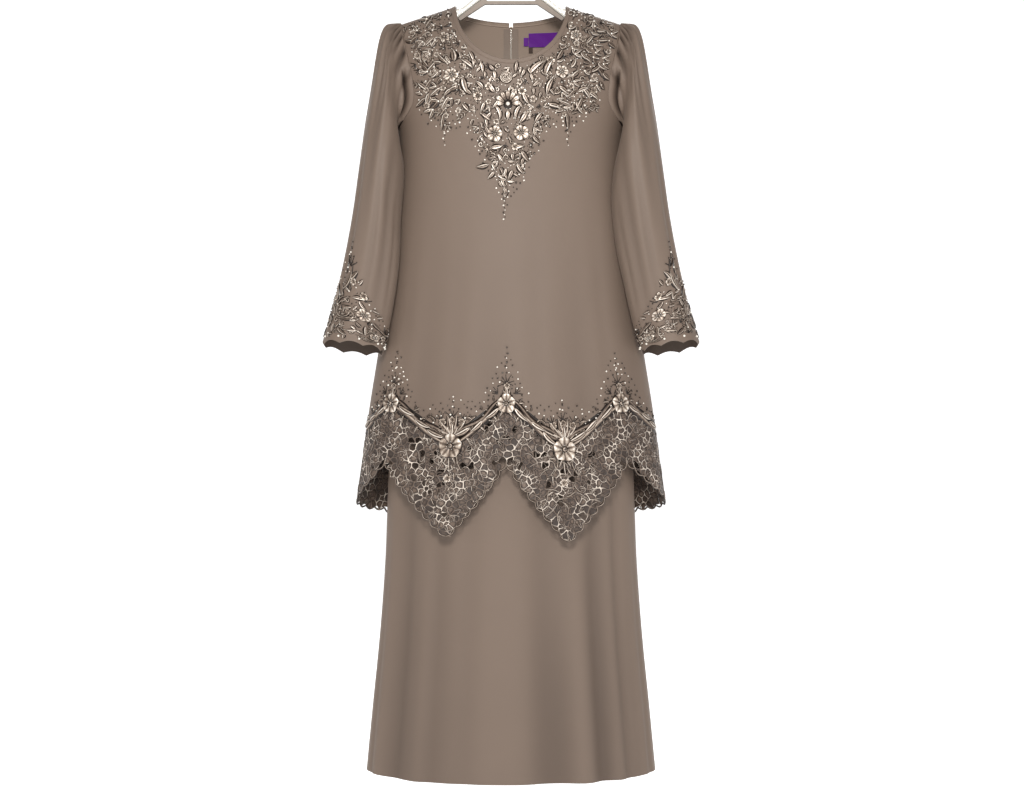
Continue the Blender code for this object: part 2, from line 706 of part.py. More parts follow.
def make_applique():
    for n, (x, z, radius) in enumerate(YOKE_FLOWERS, 1):
        def over(dx, dz, out, x=x, z=z):
            return on_body(FRONT, x + dx, z + dz, out)
        flower(f"yoke_flower_{n}", over, radius, LIFT)
    for side, word in ((FRONT, "front"), (BACK, "back")):
        for n, (angle, edge, _) in enumerate(HEM[side][1:-1], 1):
            kind = "peak" if edge > -820 else "point"

            def over(dx, dz, out, side=side, length=length_at(angle), z=edge):
                return on_hem(side, length + dx, z + dz, out)
            flower(f"hem_flower_{word}_{n}", over, HEM_FLOWER_RADIUS[kind], 2 * CORD_RADIUS + 2 * LIFT)
    for sign, word in ((LEFT, "left"), (RIGHT, "right")):
        for n, (ring, turn, radius) in enumerate(CUFF_FLOWERS, 1):
            def over(dx, dz, out, sign=sign, ring=ring, turn=turn):
                return on_sleeve(sign, ring - dz / 62, turn + dx * 1.05, out)
            flower(f"cuff_flower_{word}_{n}", over, radius, LIFT)


# ---------------------------------------------------------------- skirt

def skirt_xyz(side, s, z):
    width, depth = read(SKIRT, z, 1), read(SKIRT, z, 2 if side == FRONT else 3)
    angle = math.degrees(math.asin(max(-1, min(1, s))))
    level = math.sqrt(max(0, 1 - s * s))
    pull = trough(SKIRT_FOLDS[side], angle, z, SKIRT_HEM[0]) * min(1, 2 * level)
    return Vector(((width - pull * abs(s)) * s, side * (SEAM / 2 + max(0, depth - pull) * level), z))


def make_skirt(name, side):
    columns = []
    for k in range(SKIRT_COLUMNS + 1):
        s = math.sin(math.pi * (k / SKIRT_COLUMNS - 0.5))
        bottom = SKIRT_HEM[1] + (SKIRT_HEM[0] - SKIRT_HEM[1]) * s ** 6
        top = SKIRT[0][0]
        columns.append([skirt_xyz(side, s, top + (bottom - top) * row / SKIRT_ROWS) for row in range(SKIRT_ROWS + 1)])

    def rules(i, j):
        return ([(1, 0)] if i in (0, SKIRT_COLUMNS) else []) + ([(2, 0)] if j == 0 else [])
    keep(name, sheet(columns, CLOTH, (0, 0, -950), rules), "crepe")


def make_waistband():
    columns = []
    count = 28
    for k in range(count):
        turn = math.tau * k / count
        x = SKIRT[0][1] * math.cos(turn)
        y = SKIRT[0][2 if math.sin(turn) < 0 else 3] * math.sin(turn)
        columns.append([Vector((x, y, z)) for z in (WAISTBAND_TOP, SKIRT[0][0] + SEAM)])
    keep("waistband", sheet(columns, WAISTBAND_WALL, (0, 0, -420), lambda i, j: [(2, 0)], ring=True), "crepe")


def make_loop(name, sign):
    """A ribbon from the waistband up through the hanger's notch and down again."""
    x = sign * (NOTCH[0] + NOTCH[1]) / 2
    notch = np.interp(abs(x), [HANGER_TOP[-1][0], HANGER_TIP[0]], [HANGER_TOP[-1][1], HANGER_TIP[1]]) - NOTCH[2]
    foot_z = WAISTBAND_TOP + SEAM
    foot_y = (SKIRT[0][2] - 1) * math.sqrt(1 - (x / SKIRT[0][1]) ** 2)
    half = HANGER_HALF + 1.3
    ahead = [(-foot_y, foot_z), (-half, notch - 16), (-half, notch), (-half * 0.8, notch + 1.2)]
    ahead.append((-half * 0.3, notch + 1.3))
    path = ahead + [(-y, z) for y, z in reversed(ahead)]
    columns = [[Vector((x + dx, y, z)) for y, z in path] for dx in (-3, 3)]
    keep(name, sheet(columns, 0.8, (x, 0, -300)), "strip")


# ---------------------------------------------------------------- zip and labels

def patch(name, box, out, wall, look, columns=3, rows=2, side=BACK):
    """A flat piece that lies on a panel: box is x from, to, z top and bottom."""
    x0, x1, top, bottom = box
    grid = []
    for i in range(columns + 1):
        x = x0 + (x1 - x0) * i / columns
        grid.append([on_body(side, x, top + (bottom - top) * j / rows, out) for j in range(rows + 1)])
    keep(name, sheet(grid, wall, (0, 0, (top + bottom) / 2)), look)


def zip_top():
    """The middle of the slider, on the back panel's outer surface."""
    z = neck_edge(BACK, 0.5, BINDING_WIDTH)[1] + SLIDER[2] / 2 + SEAM
    return body_xyz(BACK, 0, z)


def pull_axis():
    top = zip_top()
    return Vector((0, top.y + 2.9, top.z + 1.4))


def box(name, middle, size, look, collection=None):
    bm = bmesh.new()
    bmesh.ops.create_cube(bm, size=1.0)
    bmesh.ops.scale(bm, verts=bm.verts, vec=Vector(size) * MM)
    bmesh.ops.translate(bm, verts=bm.verts, vec=Vector(middle) * MM)
    mesh = bpy.data.meshes.new(name)
    bm.to_mesh(mesh)
    bm.free()
    if collection is None:
        return keep(name, mesh, look)
    thing = bpy.data.objects.new(name, mesh)
    thing.hide_render = True
    thing.display_type = "WIRE"
    collection.objects.link(thing)
    return thing


def make_zip():
    panel_top = neck_edge(BACK, 0.5, BINDING_WIDTH)[1] - 1
    inside = -(CLOTH + 0.8)
    for sign, word in ((LEFT, "left"), (RIGHT, "right")):
        reach = sorted((sign * TAPE[0], sign * TAPE[1]))
        patch(f"zip_tape_{word}", (*reach, panel_top, ZIP_END), inside, 1.0, "zip", 1, 12)
    patch("zip_chain", (-CHAIN_HALF, CHAIN_HALF, panel_top, ZIP_END), inside, 1.8, "thread", 1, 12)
    top, axis = zip_top(), pull_axis()
    width, depth, height = SLIDER
    middle = (0, top.y + 4.3 - depth / 2, top.z)
    slider = box("zip_slider", middle, (width, depth, height), "slider")
    slot_back = axis.y - 1.6
    slot = box("slot", (0, slot_back + 5, top.z), (PULL[3] + 0.6, 10, height + 2), None, CUTTERS)
    cut = slider.modifiers.new("slot", "BOOLEAN")
    cut.object = slot
    cut.operation = "DIFFERENCE"
    thickness, length, wide, narrow = PULL
    outline = [(-narrow / 2, 0.8), (-narrow / 2, -5.4), (-wide / 2, -7.2), (-wide / 2, -length + 3.5)]
    outline += [(-wide / 2 + 1.6, -length + 0.8)]
    outline += [(-x, z) for x, z in reversed(outline)]
    pull = keep("zip_pull_tab", plate(outline, thickness / 2), "slider")
    pull.location = axis * MM
    pull.rotation_euler = (PULL_SLOPE, 0, 0)


def make_labels():
    inside = -(CLOTH + 0.8)
    patch("label", LABEL, inside, 1.0, "purple", 3, 2)
    patch("size_tab", SIZE_TAB, inside, 1.0, "purple", 1, 1)
    patch("fold_tab", FOLD_TAB, inside, 1.4, "brown", 1, 1)


# ---------------------------------------------------------------- hanger

def make_hanger():
    notch_from, notch_to, depth = NOTCH

    def top_at(x):
        return float(np.interp(x, [HANGER_TOP[-1][0], HANGER_TIP[0]], [HANGER_TOP[-1][1], HANGER_TIP[1]]))
    floor = top_at((notch_from + notch_to) / 2) - depth
    half = HANGER_TOP + [(notch_from, floor), (notch_to, floor), (notch_to, top_at(notch_to)), HANGER_TIP]
    half += [(HANGER_TIP[0] + 3, HANGER_TIP[1] - 6)]
    half += HANGER_UNDER
    whole = half + [(-x, z) for x, z in reversed(half[1:-1])]
    keep("hanger", plate(whole, HANGER_HALF, HANGER_BEVEL), "wood")


def make_strip():
    """The taupe strip under the arms and the flat bar that joins its two sides."""
    other_half = [(-x, z) for x, z in STRIP_TOP[::-1] + STRIP_UNDER[::-1]]
    outline = STRIP_TOP + other_half + STRIP_UNDER
    keep("hanger_strip", plate(outline, STRIP_HALF), "strip")


def make_hook():
    """A wire hook. The rail bears on its inner side at the origin."""
    middle_z = WIRE - HOOK_RADIUS
    path = [(0, HANGER_TOP[0][1] + SEAM), (0, -54), (1.5, -49.5), (6, -45.5)]
    path += [(HOOK_RADIUS * math.cos(a), middle_z + HOOK_RADIUS * math.sin(a))
             for a in np.radians(np.arange(-55, 206, 20))]
    keep("hook", tube([(x, 0, z) for x, z in path], WIRE, 2), "wire")


def main():
    for thing in list(bpy.data.objects):
        bpy.data.objects.remove(thing)
    for collection in (HERE, CUTTERS):
        bpy.context.scene.collection.children.link(collection)
    make_front()
    make_backs()
    make_binding()
    make_sleeve("sleeve_left", LEFT)
    make_sleeve("sleeve_right", RIGHT)
    make_lace("lace_front", FRONT)
    make_lace("lace_back", BACK)
    make_cord("cord_front", FRONT)
    make_cord("cord_back", BACK)
    make_applique()
    make_zip()
    make_labels()
    make_skirt("skirt_front", FRONT)
    make_skirt("skirt_back", BACK)
    make_waistband()
    make_loop("skirt_loop_left", LEFT)
    make_loop("skirt_loop_right", RIGHT)
    make_hanger()
    make_strip()
    make_hook()


main()
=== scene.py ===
import math
import random

import bmesh
import bpy
import numpy as np
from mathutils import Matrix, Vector
from mathutils.geometry import delaunay_2d_cdt


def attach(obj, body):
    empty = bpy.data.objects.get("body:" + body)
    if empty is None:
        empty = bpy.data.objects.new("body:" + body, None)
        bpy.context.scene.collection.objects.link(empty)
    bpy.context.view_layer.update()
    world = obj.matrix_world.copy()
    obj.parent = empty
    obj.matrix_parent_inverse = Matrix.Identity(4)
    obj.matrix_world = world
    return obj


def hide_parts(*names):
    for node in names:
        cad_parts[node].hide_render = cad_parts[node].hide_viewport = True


# Baju kurung on a hanger. Sizes are in millimetres here and become metres when a mesh is made.
# The origin is the underside of the hanger's hook, +X is the wearer's left and -Y the front.

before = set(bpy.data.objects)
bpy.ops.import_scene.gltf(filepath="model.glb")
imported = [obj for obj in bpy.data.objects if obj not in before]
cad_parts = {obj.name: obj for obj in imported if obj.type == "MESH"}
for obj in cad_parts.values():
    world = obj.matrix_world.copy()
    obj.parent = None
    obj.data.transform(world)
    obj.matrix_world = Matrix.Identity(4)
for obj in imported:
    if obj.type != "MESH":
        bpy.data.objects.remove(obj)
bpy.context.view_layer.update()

mm = 0.001
front, back = -1, 1
left, right = 1, -1
seamGap = 0.3
dice = random.Random(41)


# Tables that run down the garment are read on one smooth curve through their rows.

def smoothRead(rows, column, at):
    table = np.array([[row[0], row[column]] for row in rows], float)
    levels, values = table[:, 0], table[:, 1]
    last = len(rows) - 1
    at = np.clip(at, levels[-1], levels[0])
    n = np.clip(np.searchsorted(-levels, -at, side="right") - 1, 0, last - 1)
    before, after = np.maximum(n - 1, 0), np.minimum(n + 2, last)
    span = levels[n + 1] - levels[n]
    t = (at - levels[n]) / span
    start = (values[n + 1] - values[before]) / (levels[n + 1] - levels[before]) * span
    end = (values[after] - values[n]) / (levels[after] - levels[n]) * span
    return (values[n] * (2 * t**3 - 3 * t**2 + 1) + values[n + 1] * (3 * t**2 - 2 * t**3)
            + start * (t**3 - 2 * t**2 + t) + end * (t**3 - t**2))


def soft(t):
    t = np.clip(t, 0, 1)
    return t * t * (3 - 2 * t)


def foldPull(folds, angle, z, bottom):
    total = np.zeros(np.broadcast(angle, z).shape)
    for middle, spread, depth, start in folds:
        total += depth * soft((start - z) / (start - bottom)) * np.exp(-((angle - middle) / spread) ** 2)
    return total


def pullOn(piece, side, s, z, bottom):
    angle = np.degrees(np.arcsin(np.clip(s, -1, 1)))
    return foldPull(piece["folds"][side], angle, z, bottom) + foldPull(piece["creases"][side], angle, z, bottom)


# Tunic. body: z, half width, depth in front, depth behind.
# folds: angle from the middle, spread, depth, z where it starts. creases are the same, finer and only seen here.
# hem: angle from the middle, z of the cloth's edge, z of the lace's edge.

tunic = {
    "wall": 1.3,
    "neckReach": 93, "neckTop": -113, "neckDrop": {front: 102, back: 17}, "bindingWidth": 7.5,
    "shoulderReach": 185, "shoulderTop": -143, "shoulderRound": 120, "underarm": -322,
    "armhole": [(-143, 185), (-170, 181), (-207, 172.5), (-240, 166.0), (-283, 164.5), (-322, 190)],
    "body": [
        (-84, 212, 76, 70), (-144, 208, 78, 73), (-210, 205, 82, 76), (-275, 199, 86, 79), (-322, 190, 88, 81),
        (-400, 189, 89, 83), (-509, 200, 91, 85), (-600, 211, 94, 88), (-696, 225, 98, 92), (-790, 240, 103, 97),
        (-860, 249, 107, 101), (-953, 262, 112, 106), (-1030, 270, 116, 110),
    ],
    "folds": {
        front: [(-38, 9, 5.0, -420), (-9, 8, 3.5, -520), (30, 8, 5.0, -450), (62, 9, 4.5, -400)],
        back: [(-52, 10, 5.5, -380), (-18, 9, 4.5, -470), (14, 8, 4.0, -430), (44, 10, 5.5, -400)],
    },
    "creases": {
        front: [(-52, 4, 2.2, -400), (-24, 5, 1.8, -360), (11, 5, 1.5, -330), (21, 4, 1.4, -560), (44, 4, 2.2, -360)],
        back: [(-66, 5, 2.0, -360), (-36, 5, 1.8, -330), (-5, 4, 1.2, -520), (28, 5, 1.8, -350), (58, 5, 2.2, -430)],
    },
    "hem": {
        front: [(-90, -838, -951), (-56.5, -788, -883), (-23.6, -858, -1006), (-1.8, -788, -882),
                (20.6, -864, -1014), (49.5, -788, -883), (90, -838, -951)],
        back: [(-90, -838, -951), (-56, -846, -967), (-27, -862, -1006), (0, -788, -884), (27, -862, -1006),
               (56, -846, -967), (90, -838, -951)],
    },
    "hemEllipse": (258, 106), "columnsPerKey": 4, "upperRows": 8, "lowerRows": 7,
    # The last two: the fold depth in mm that gets the full painted shade, and the painted light on the inner side of
    # the back panels and the neck binding.
    "finer": 6, "fullShadeDepth": 14, "reversePaintedLight": -1.0,
}


def shoulderHeight(x):
    fall = (tunic["neckTop"] - tunic["shoulderTop"]) / (tunic["shoulderReach"] - tunic["neckReach"])
    return tunic["neckTop"] - (np.abs(x) - tunic["neckReach"]) * fall


def edgeReach(z):
    return np.where(z > tunic["underarm"], smoothRead(tunic["armhole"], 1, z), smoothRead(tunic["body"], 1, z))


def bodyPoint(side, s, z):
    s, z = np.broadcast_arrays(np.asarray(s, float), np.asarray(z, float))
    x = s * edgeReach(z)
    across = np.minimum(1, np.abs(x) / smoothRead(tunic["body"], 1, z))
    level = np.sqrt(1 - across ** 2)
    depth = smoothRead(tunic["body"], 2 if side == front else 3, z) * level
    drop = np.clip((shoulderHeight(x) - z) / tunic["shoulderRound"], 0, 1)
    depth = depth * np.sqrt(1 - (1 - drop) ** 2)
    depth = np.maximum(depth - pullOn(tunic, side, s, z, tunic["hem"][side][0][1]) * level, 0)
    return np.stack((x, side * (seamGap / 2 + depth), z), axis=-1)


def unit(v):
    return v / np.maximum(np.linalg.norm(v, axis=-1, keepdims=True), 1e-9)


def onBody(side, x, z, out):
    s = x / edgeReach(z)
    at = bodyPoint(side, s, z)
    across = bodyPoint(side, s + 0.003, z) - bodyPoint(side, s - 0.003, z)
    down = bodyPoint(side, s, z - 0.8) - bodyPoint(side, s, z + 0.8)
    normal = unit(np.cross(across, down))
    normal *= np.where(normal[..., 1:2] * side < 0, -1, 1)
    return at + normal * np.asarray(out, float)[..., None]


quarter = np.radians(np.arange(-90, 91))
hemSteps = np.hypot(np.diff(tunic["hemEllipse"][0] * np.sin(quarter)),
                    np.diff(tunic["hemEllipse"][1] * np.cos(quarter)))
hemArc = np.concatenate(([0], np.cumsum(hemSteps)))
hemArc -= hemArc[90]


def lengthAt(angle):
    return np.interp(angle, np.degrees(quarter), hemArc)


def angleAt(length):
    return np.interp(length, hemArc, np.degrees(quarter))


def onHem(side, length, z, out):
    return onBody(side, np.sin(np.radians(angleAt(length))) * edgeReach(z), z, out)


def hemHeight(side, length, column):
    keys = tunic["hem"][side]
    return np.interp(length, [lengthAt(k[0]) for k in keys], [k[column] for k in keys])


def neckEdge(side, turn, margin):
    reach = tunic["neckReach"] + margin
    return (-reach * np.cos(np.pi * turn),
            shoulderHeight(reach) - (tunic["neckDrop"][side] + 0.75 * margin) * np.sin(np.pi * turn))


# Cloth meshes: a grid of points becomes a thin closed shell with its inner side wall inward.

def gridNormals(points, ring, outward):
    if ring:
        across = np.roll(points, -1, axis=0) - np.roll(points, 1, axis=0)
    else:
        across = np.gradient(points, axis=0)
    normals = unit(np.cross(across, np.gradient(points, axis=1)))
    middle = points.mean(axis=(0, 1)) if outward is None else np.array(outward, float)
    if ((points - middle) * normals).sum() < 0:
        normals = -normals
    return normals


def clothShell(name, points, wall, ring=False, outward=None, keepInside=None, paintedLightAndShade=None, insidePaintedLightAndShade=0.0):
    # Each point's painted light and shade in the cloth's colours: -1 painted light, a paler colour, 0 the cloth's own
    # colour, 1 painted shade in a fold, 2 darker painted shade in a gather. The inner wall gets an extra shift: painted
    # light on the back panels and binding, painted shade inside the sleeves.
    columns, rows = points.shape[:2]
    normals = gridNormals(points, ring, outward)
    if keepInside is not None:
        normals = keepInside(normals)
    inner = points - normals * wall
    verts = np.concatenate((points.reshape(-1, 3), inner.reshape(-1, 3))) * mm
    i, j = np.meshgrid(np.arange(columns if ring else columns - 1), np.arange(rows - 1), indexing="ij")
    a, b = (i * rows + j).ravel(), (((i + 1) % columns) * rows + j).ravel()
    outerFaces = np.stack((a, b, b + 1, a + 1), axis=1)
    half = columns * rows
    first = points[1, 0] - points[0, 0]
    turned = np.dot(np.cross(first, points[0, 1] - points[0, 0]), normals[0, 0]) > 0
    if not turned:
        outerFaces = outerFaces[:, ::-1]
    innerFaces = outerFaces[:, ::-1] + half
    rims = []
    for row in (0, rows - 1):
        c = np.arange(columns if ring else columns - 1)
        p, q = c * rows + row, ((c + 1) % columns) * rows + row
        rims.append(np.stack((p, q, q + half, p + half), axis=1)[:, :: 1 if (row == 0) != turned else -1])
    if not ring:
        for column in (0, columns - 1):
            r = np.arange(rows - 1)
            p, q = column * rows + r, column * rows + r + 1
            rims.append(np.stack((p, q, q + half, p + half), axis=1)[:, :: 1 if (column == 0) == turned else -1])
    faces = np.concatenate([outerFaces, innerFaces] + rims)
    mesh = bpy.data.meshes.new(name)
    mesh.from_pydata(verts.tolist(), [], faces.tolist())
    lengths = np.cumsum(np.linalg.norm(np.diff(points, axis=1, prepend=points[:, :1]), axis=-1), axis=1)
    widths = np.cumsum(np.linalg.norm(np.diff(points, axis=0, prepend=points[:1]), axis=-1), axis=0)
    uv = np.stack((widths, -lengths), axis=-1).reshape(-1, 2) * mm
    uv = np.concatenate((uv, uv))
    corner = np.zeros(len(mesh.loops), np.int32)
    mesh.loops.foreach_get("vertex_index", corner)
    mesh.uv_layers.new(name="cloth").data.foreach_set("uv", uv[corner].astype(np.float32).ravel())
    # Painted light and shade kept as an attribute for the cloth's colour ramp.
    if paintedLightAndShade is not None:
        deep = np.clip(np.concatenate((paintedLightAndShade.ravel(), paintedLightAndShade.ravel() + insidePaintedLightAndShade)), -1, 2).astype(np.float32)
        mesh.attributes.new("paintedLightAndShade", "FLOAT", "POINT").data.foreach_set("value", deep)
    mesh.shade_smooth()
    mesh.set_sharp_from_angle(angle=math.radians(50))
    thing = bpy.data.objects.new(name, mesh)
    bpy.context.scene.collection.objects.link(thing)
    return thing


def dress(thing, material, replaced, body="garment"):
    thing.data.materials.clear()
    thing.data.materials.append(material)
    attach(thing, body)
    if replaced:
        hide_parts(*replaced)
    return thing


# Materials. Groups hold effects that more than one finish uses.

def srgb(r, g, b):
    return tuple((v / 255 / 12.92) if v <= 10 else ((v / 255 + 0.055) / 1.055) ** 2.4 for v in (r, g, b)) + (1,)


def newGroup(name, inputs, outputs):
    group = bpy.data.node_groups.new(name, "ShaderNodeTree")
    for label, kind, value in inputs:
        socket = group.interface.new_socket(label, in_out="INPUT", socket_type="NodeSocket" + kind)
        socket.default_value = value
    for label, kind in outputs:
        group.interface.new_socket(label, in_out="OUTPUT", socket_type="NodeSocket" + kind)
    return group, group.nodes.new("NodeGroupInput"), group.nodes.new("NodeGroupOutput")


def mixColour(tree, share, one, other, mode="MIX"):
    node = tree.nodes.new("ShaderNodeMix")
    node.data_type = "RGBA"
    node.blend_type = mode
    for socket, value in ((node.inputs[0], share), (node.inputs[6], one), (node.inputs[7], other)):
        if hasattr(value, "links"):
            tree.links.new(value, socket)
        else:
            socket.default_value = value
    return node.outputs[2]


def mathNode(tree, operation, one, other=0.0):
    node = tree.nodes.new("ShaderNodeMath")
    node.operation = operation
    for socket, value in zip(node.inputs, (one, other)):
        if hasattr(value, "links"):
            tree.links.new(value, socket)
        else:
            socket.default_value = value
    return node.outputs[0]


def noiseNode(tree, vector, scale, detail=2.0, rough=0.5):
    node = tree.nodes.new("ShaderNodeTexNoise")
    node.inputs["Scale"].default_value = scale
    node.inputs["Detail"].default_value = detail
    node.inputs["Roughness"].default_value = rough
    tree.links.new(vector, node.inputs["Vector"])
    return node.outputs["Fac"]


def rampNode(tree, value, stops):
    node = tree.nodes.new("ShaderNodeValToRGB")
    ramp = node.color_ramp
    while len(ramp.elements) < len(stops):
        ramp.elements.new(0.5)
    for element, (place, colour) in zip(ramp.elements, stops):
        element.position = place
        element.color = colour
    tree.links.new(value, node.inputs["Fac"])
    return node.outputs["Color"]


def clothGrainGroup():
    group, given, made = newGroup(
        "clothGrain",
        [("Vector", "Vector", (0, 0, 0)), ("Colour", "Color", (0.3, 0.3, 0.3, 1)), ("Grain", "Float", 1400.0),
         ("Depth", "Float", 0.12), ("Shade", "Float", 0.06)],
        [("Colour", "Color"), ("Mask", "Float"), ("Normal", "Vector")])
    stretch = group.nodes.new("ShaderNodeMapping")
    stretch.inputs["Scale"].default_value = (1.0, 0.45, 1.0)
    group.links.new(given.outputs["Vector"], stretch.inputs["Vector"])
    grain = group.nodes.new("ShaderNodeTexNoise")
    grain.inputs["Detail"].default_value = 3.0
    grain.inputs["Roughness"].default_value = 0.65
    group.links.new(given.outputs["Grain"], grain.inputs["Scale"])
    group.links.new(stretch.outputs["Vector"], grain.inputs["Vector"])
    broad = noiseNode(group, given.outputs["Vector"], 9.0, 3.0)
    spread = mathNode(group, "MULTIPLY", mathNode(group, "SUBTRACT", broad, 0.5), given.outputs["Shade"])
    fine = mathNode(group, "MULTIPLY", mathNode(group, "SUBTRACT", grain.outputs["Fac"], 0.5),
                    mathNode(group, "MULTIPLY", given.outputs["Shade"], 1.4))
    level = mathNode(group, "ADD", mathNode(group, "ADD", spread, fine), 1.0)
    tone = group.nodes.new("ShaderNodeHueSaturation")
    group.links.new(given.outputs["Colour"], tone.inputs["Color"])
    group.links.new(level, tone.inputs["Value"])
    bump = group.nodes.new("ShaderNodeBump")
    bump.inputs["Distance"].default_value = 0.0004
    group.links.new(given.outputs["Depth"], bump.inputs["Strength"])
    group.links.new(grain.outputs["Fac"], bump.inputs["Height"])
    group.links.new(tone.outputs["Color"], made.inputs["Colour"])
    group.links.new(grain.outputs["Fac"], made.inputs["Mask"])
    group.links.new(bump.outputs["Normal"], made.inputs["Normal"])
    return group


clothGrain = clothGrainGroup()


def newMaterial(name, **constant):
    material = bpy.data.materials.new(name)
    material.use_nodes = True
    tree = material.node_tree
    shader = tree.nodes["Principled BSDF"]
    for label, value in constant.items():
        shader.inputs[label.replace("_", " ")].default_value = value
    return material, tree, shader


def grainOn(tree, shader, vector, colour, grain, depth, shade):
    node = tree.nodes.new("ShaderNodeGroup")
    node.node_tree = clothGrain
    tree.links.new(vector, node.inputs["Vector"])
    node.inputs["Grain"].default_value = grain
    node.inputs["Depth"].default_value = depth
    node.inputs["Shade"].default_value = shade
    if hasattr(colour, "links"):
        tree.links.new(colour, node.inputs["Colour"])
    else:
        node.inputs["Colour"].default_value = colour
    tree.links.new(node.outputs["Colour"], shader.inputs["Base Color"])
    tree.links.new(node.outputs["Normal"], shader.inputs["Normal"])
    return node


def texturePlace(tree, kind):
    return tree.nodes.new("ShaderNodeTexCoord").outputs[kind]


crepe = {
    # The cloth's own colour, a paler colour painted as light on inner sides, and two darker ones painted as shade in
    # folds and in gathers.
    "paintedLightColour": (160, 142, 128), "colour": (118, 103, 92), "paintedLightAndShade": (92, 79, 70), "deep": (48, 39, 33),
    "roughness": 0.52, "sheen": 0.06,
    "grain": 900.0, "grainDepth": 0.22, "shade": 0.07,
}


def crepeMaterial():
    material, tree, shader = newMaterial(
        "satinCrepe", Roughness=crepe["roughness"], Sheen_Weight=crepe["sheen"], Sheen_Roughness=0.35,
        Specular_IOR_Level=0.25)
    shader.inputs["Sheen Tint"].default_value = srgb(236, 222, 208)
    # The ramp paints light and shade from the attribute: paler on inner sides, darker in folds, darkest in gathers.
    paintedLightAndShade = tree.nodes.new("ShaderNodeAttribute")
    paintedLightAndShade.attribute_name = "paintedLightAndShade"
    colour = rampNode(tree, mathNode(tree, "ADD", mathNode(tree, "MULTIPLY", paintedLightAndShade.outputs["Fac"], 1 / 3), 1 / 3),
                      [(k / 3, srgb(*crepe[name])) for k, name in enumerate(("paintedLightColour", "colour", "paintedLightAndShade", "deep"))])
    node = grainOn(tree, shader, texturePlace(tree, "UV"), colour, crepe["grain"], crepe["grainDepth"],
                   crepe["shade"])
    rough = mathNode(tree, "ADD", mathNode(tree, "MULTIPLY", node.outputs["Mask"], 0.12), crepe["roughness"] - 0.06)
    tree.links.new(rough, shader.inputs["Roughness"])
    return material


crepeCloth = crepeMaterial()
print("materials made")


# Tunic panels. A panel's columns run from its top edge to the zigzag, c counts them as the pattern's.

def panelTop(side, c):
    count = tunic["columnsPerKey"]
    inner = tunic["neckReach"] + tunic["bindingWidth"]
    last = 6 * count
    if c <= count or c >= last - count:
        share = min(c, last - c) / count
        x = tunic["shoulderReach"] + (inner - tunic["shoulderReach"]) * share
        return (-x if c <= count else x), float(shoulderHeight(x))
    x, z = neckEdge(side, soft((c - count) / (4 * count)), tunic["bindingWidth"])
    return float(x), float(z)


def rowHeights(top, bottom, steps):
    upper, lower, under = tunic["upperRows"], tunic["lowerRows"], tunic["underarm"]
    lowNeck = tunic["neckTop"] - tunic["neckDrop"][front]
    crowd = 0.9 + 0.3 * min(1, max(0, (top - lowNeck) / (tunic["neckTop"] - lowNeck)))
    r = np.linspace(0, upper + lower, steps)
    high = top + (under - top) * soft((r / upper) ** crowd)
    return np.where(r < upper, high, under + (bottom - under) * (r - upper) / lower)


def panelGrid(side, firstKey, lastKey):
    count, finer = tunic["columnsPerKey"], tunic["finer"]
    keys = [float(lengthAt(k[0])) for k in tunic["hem"][side]]
    grid, paintedLightAndShade = [], []
    for n in range(firstKey * count * finer, lastKey * count * finer + 1):
        c = n / finer
        x, top = panelTop(side, c)
        length = float(np.interp(c / count, range(len(keys)), keys))
        bottom = float(hemHeight(side, length, 1))
        z = rowHeights(top, bottom, 16 * finer + 1)
        share = (top - z) / (top - bottom)
        sTop, sBottom = x / float(edgeReach(top)), math.sin(math.radians(float(angleAt(length))))
        s = sTop + (sBottom - sTop) * share
        grid.append(bodyPoint(side, s, z))
        # The fold's depth becomes painted shade in the cloth's colour.
        paintedLightAndShade.append(pullOn(tunic, side, s, z, tunic["hem"][side][0][1]) / tunic["fullShadeDepth"])
    return np.array(grid), np.array(paintedLightAndShade)


def seamNormals(edges, zipEdge=None):
    # The inner wall keeps on its own side of the seams, as the outer one does.
    def keep(normals):
        for column in edges:
            normals[column, :, 1] = 0
            normals[column, :, 2] *= 0.2
        if zipEdge is not None:
            normals[zipEdge, :, 0] = 0
        normals[:, 0, 2] *= 0.3
        normals[:, -1, 2] = 0
        return unit(normals)
    return keep


grid, paintedLightAndShade = panelGrid(front, 0, 6)
tunicFront = clothShell("tunicFront", grid, tunic["wall"], outward=(0, 0, -500), keepInside=seamNormals([0, -1]),
                        paintedLightAndShade=paintedLightAndShade)
dress(tunicFront, crepeCloth, ["tunic_front"])
for word, edge, zipEdge, keys in (("right", 0, -1, (0, 3)), ("left", -1, 0, (3, 6))):
    grid, paintedLightAndShade = panelGrid(back, *keys)
    grid[zipEdge, :, 0] = seamGap / 2 * (-1 if word == "right" else 1)
    # The back panels' inner side is painted lighter: painted light.
    part = clothShell("tunicBack" + word.title(), grid, tunic["wall"], outward=(0, 0, -500),
                      keepInside=seamNormals([edge], zipEdge), paintedLightAndShade=paintedLightAndShade, insidePaintedLightAndShade=tunic["reversePaintedLight"])
    dress(part, crepeCloth, ["tunic_back_" + word])
print("tunic made")


# Sleeves. rings: share of its own ellipse, x and z at the outer side, x at the inner side right and left, z there,
# y of the middle, half depth, swell. folds and headFolds: turn from the outer side, spread, depth, first, last ring.
# gathers: turn, spread, depth and length in rings from the armhole. tuck: ring, spread, depth, first and last turn.

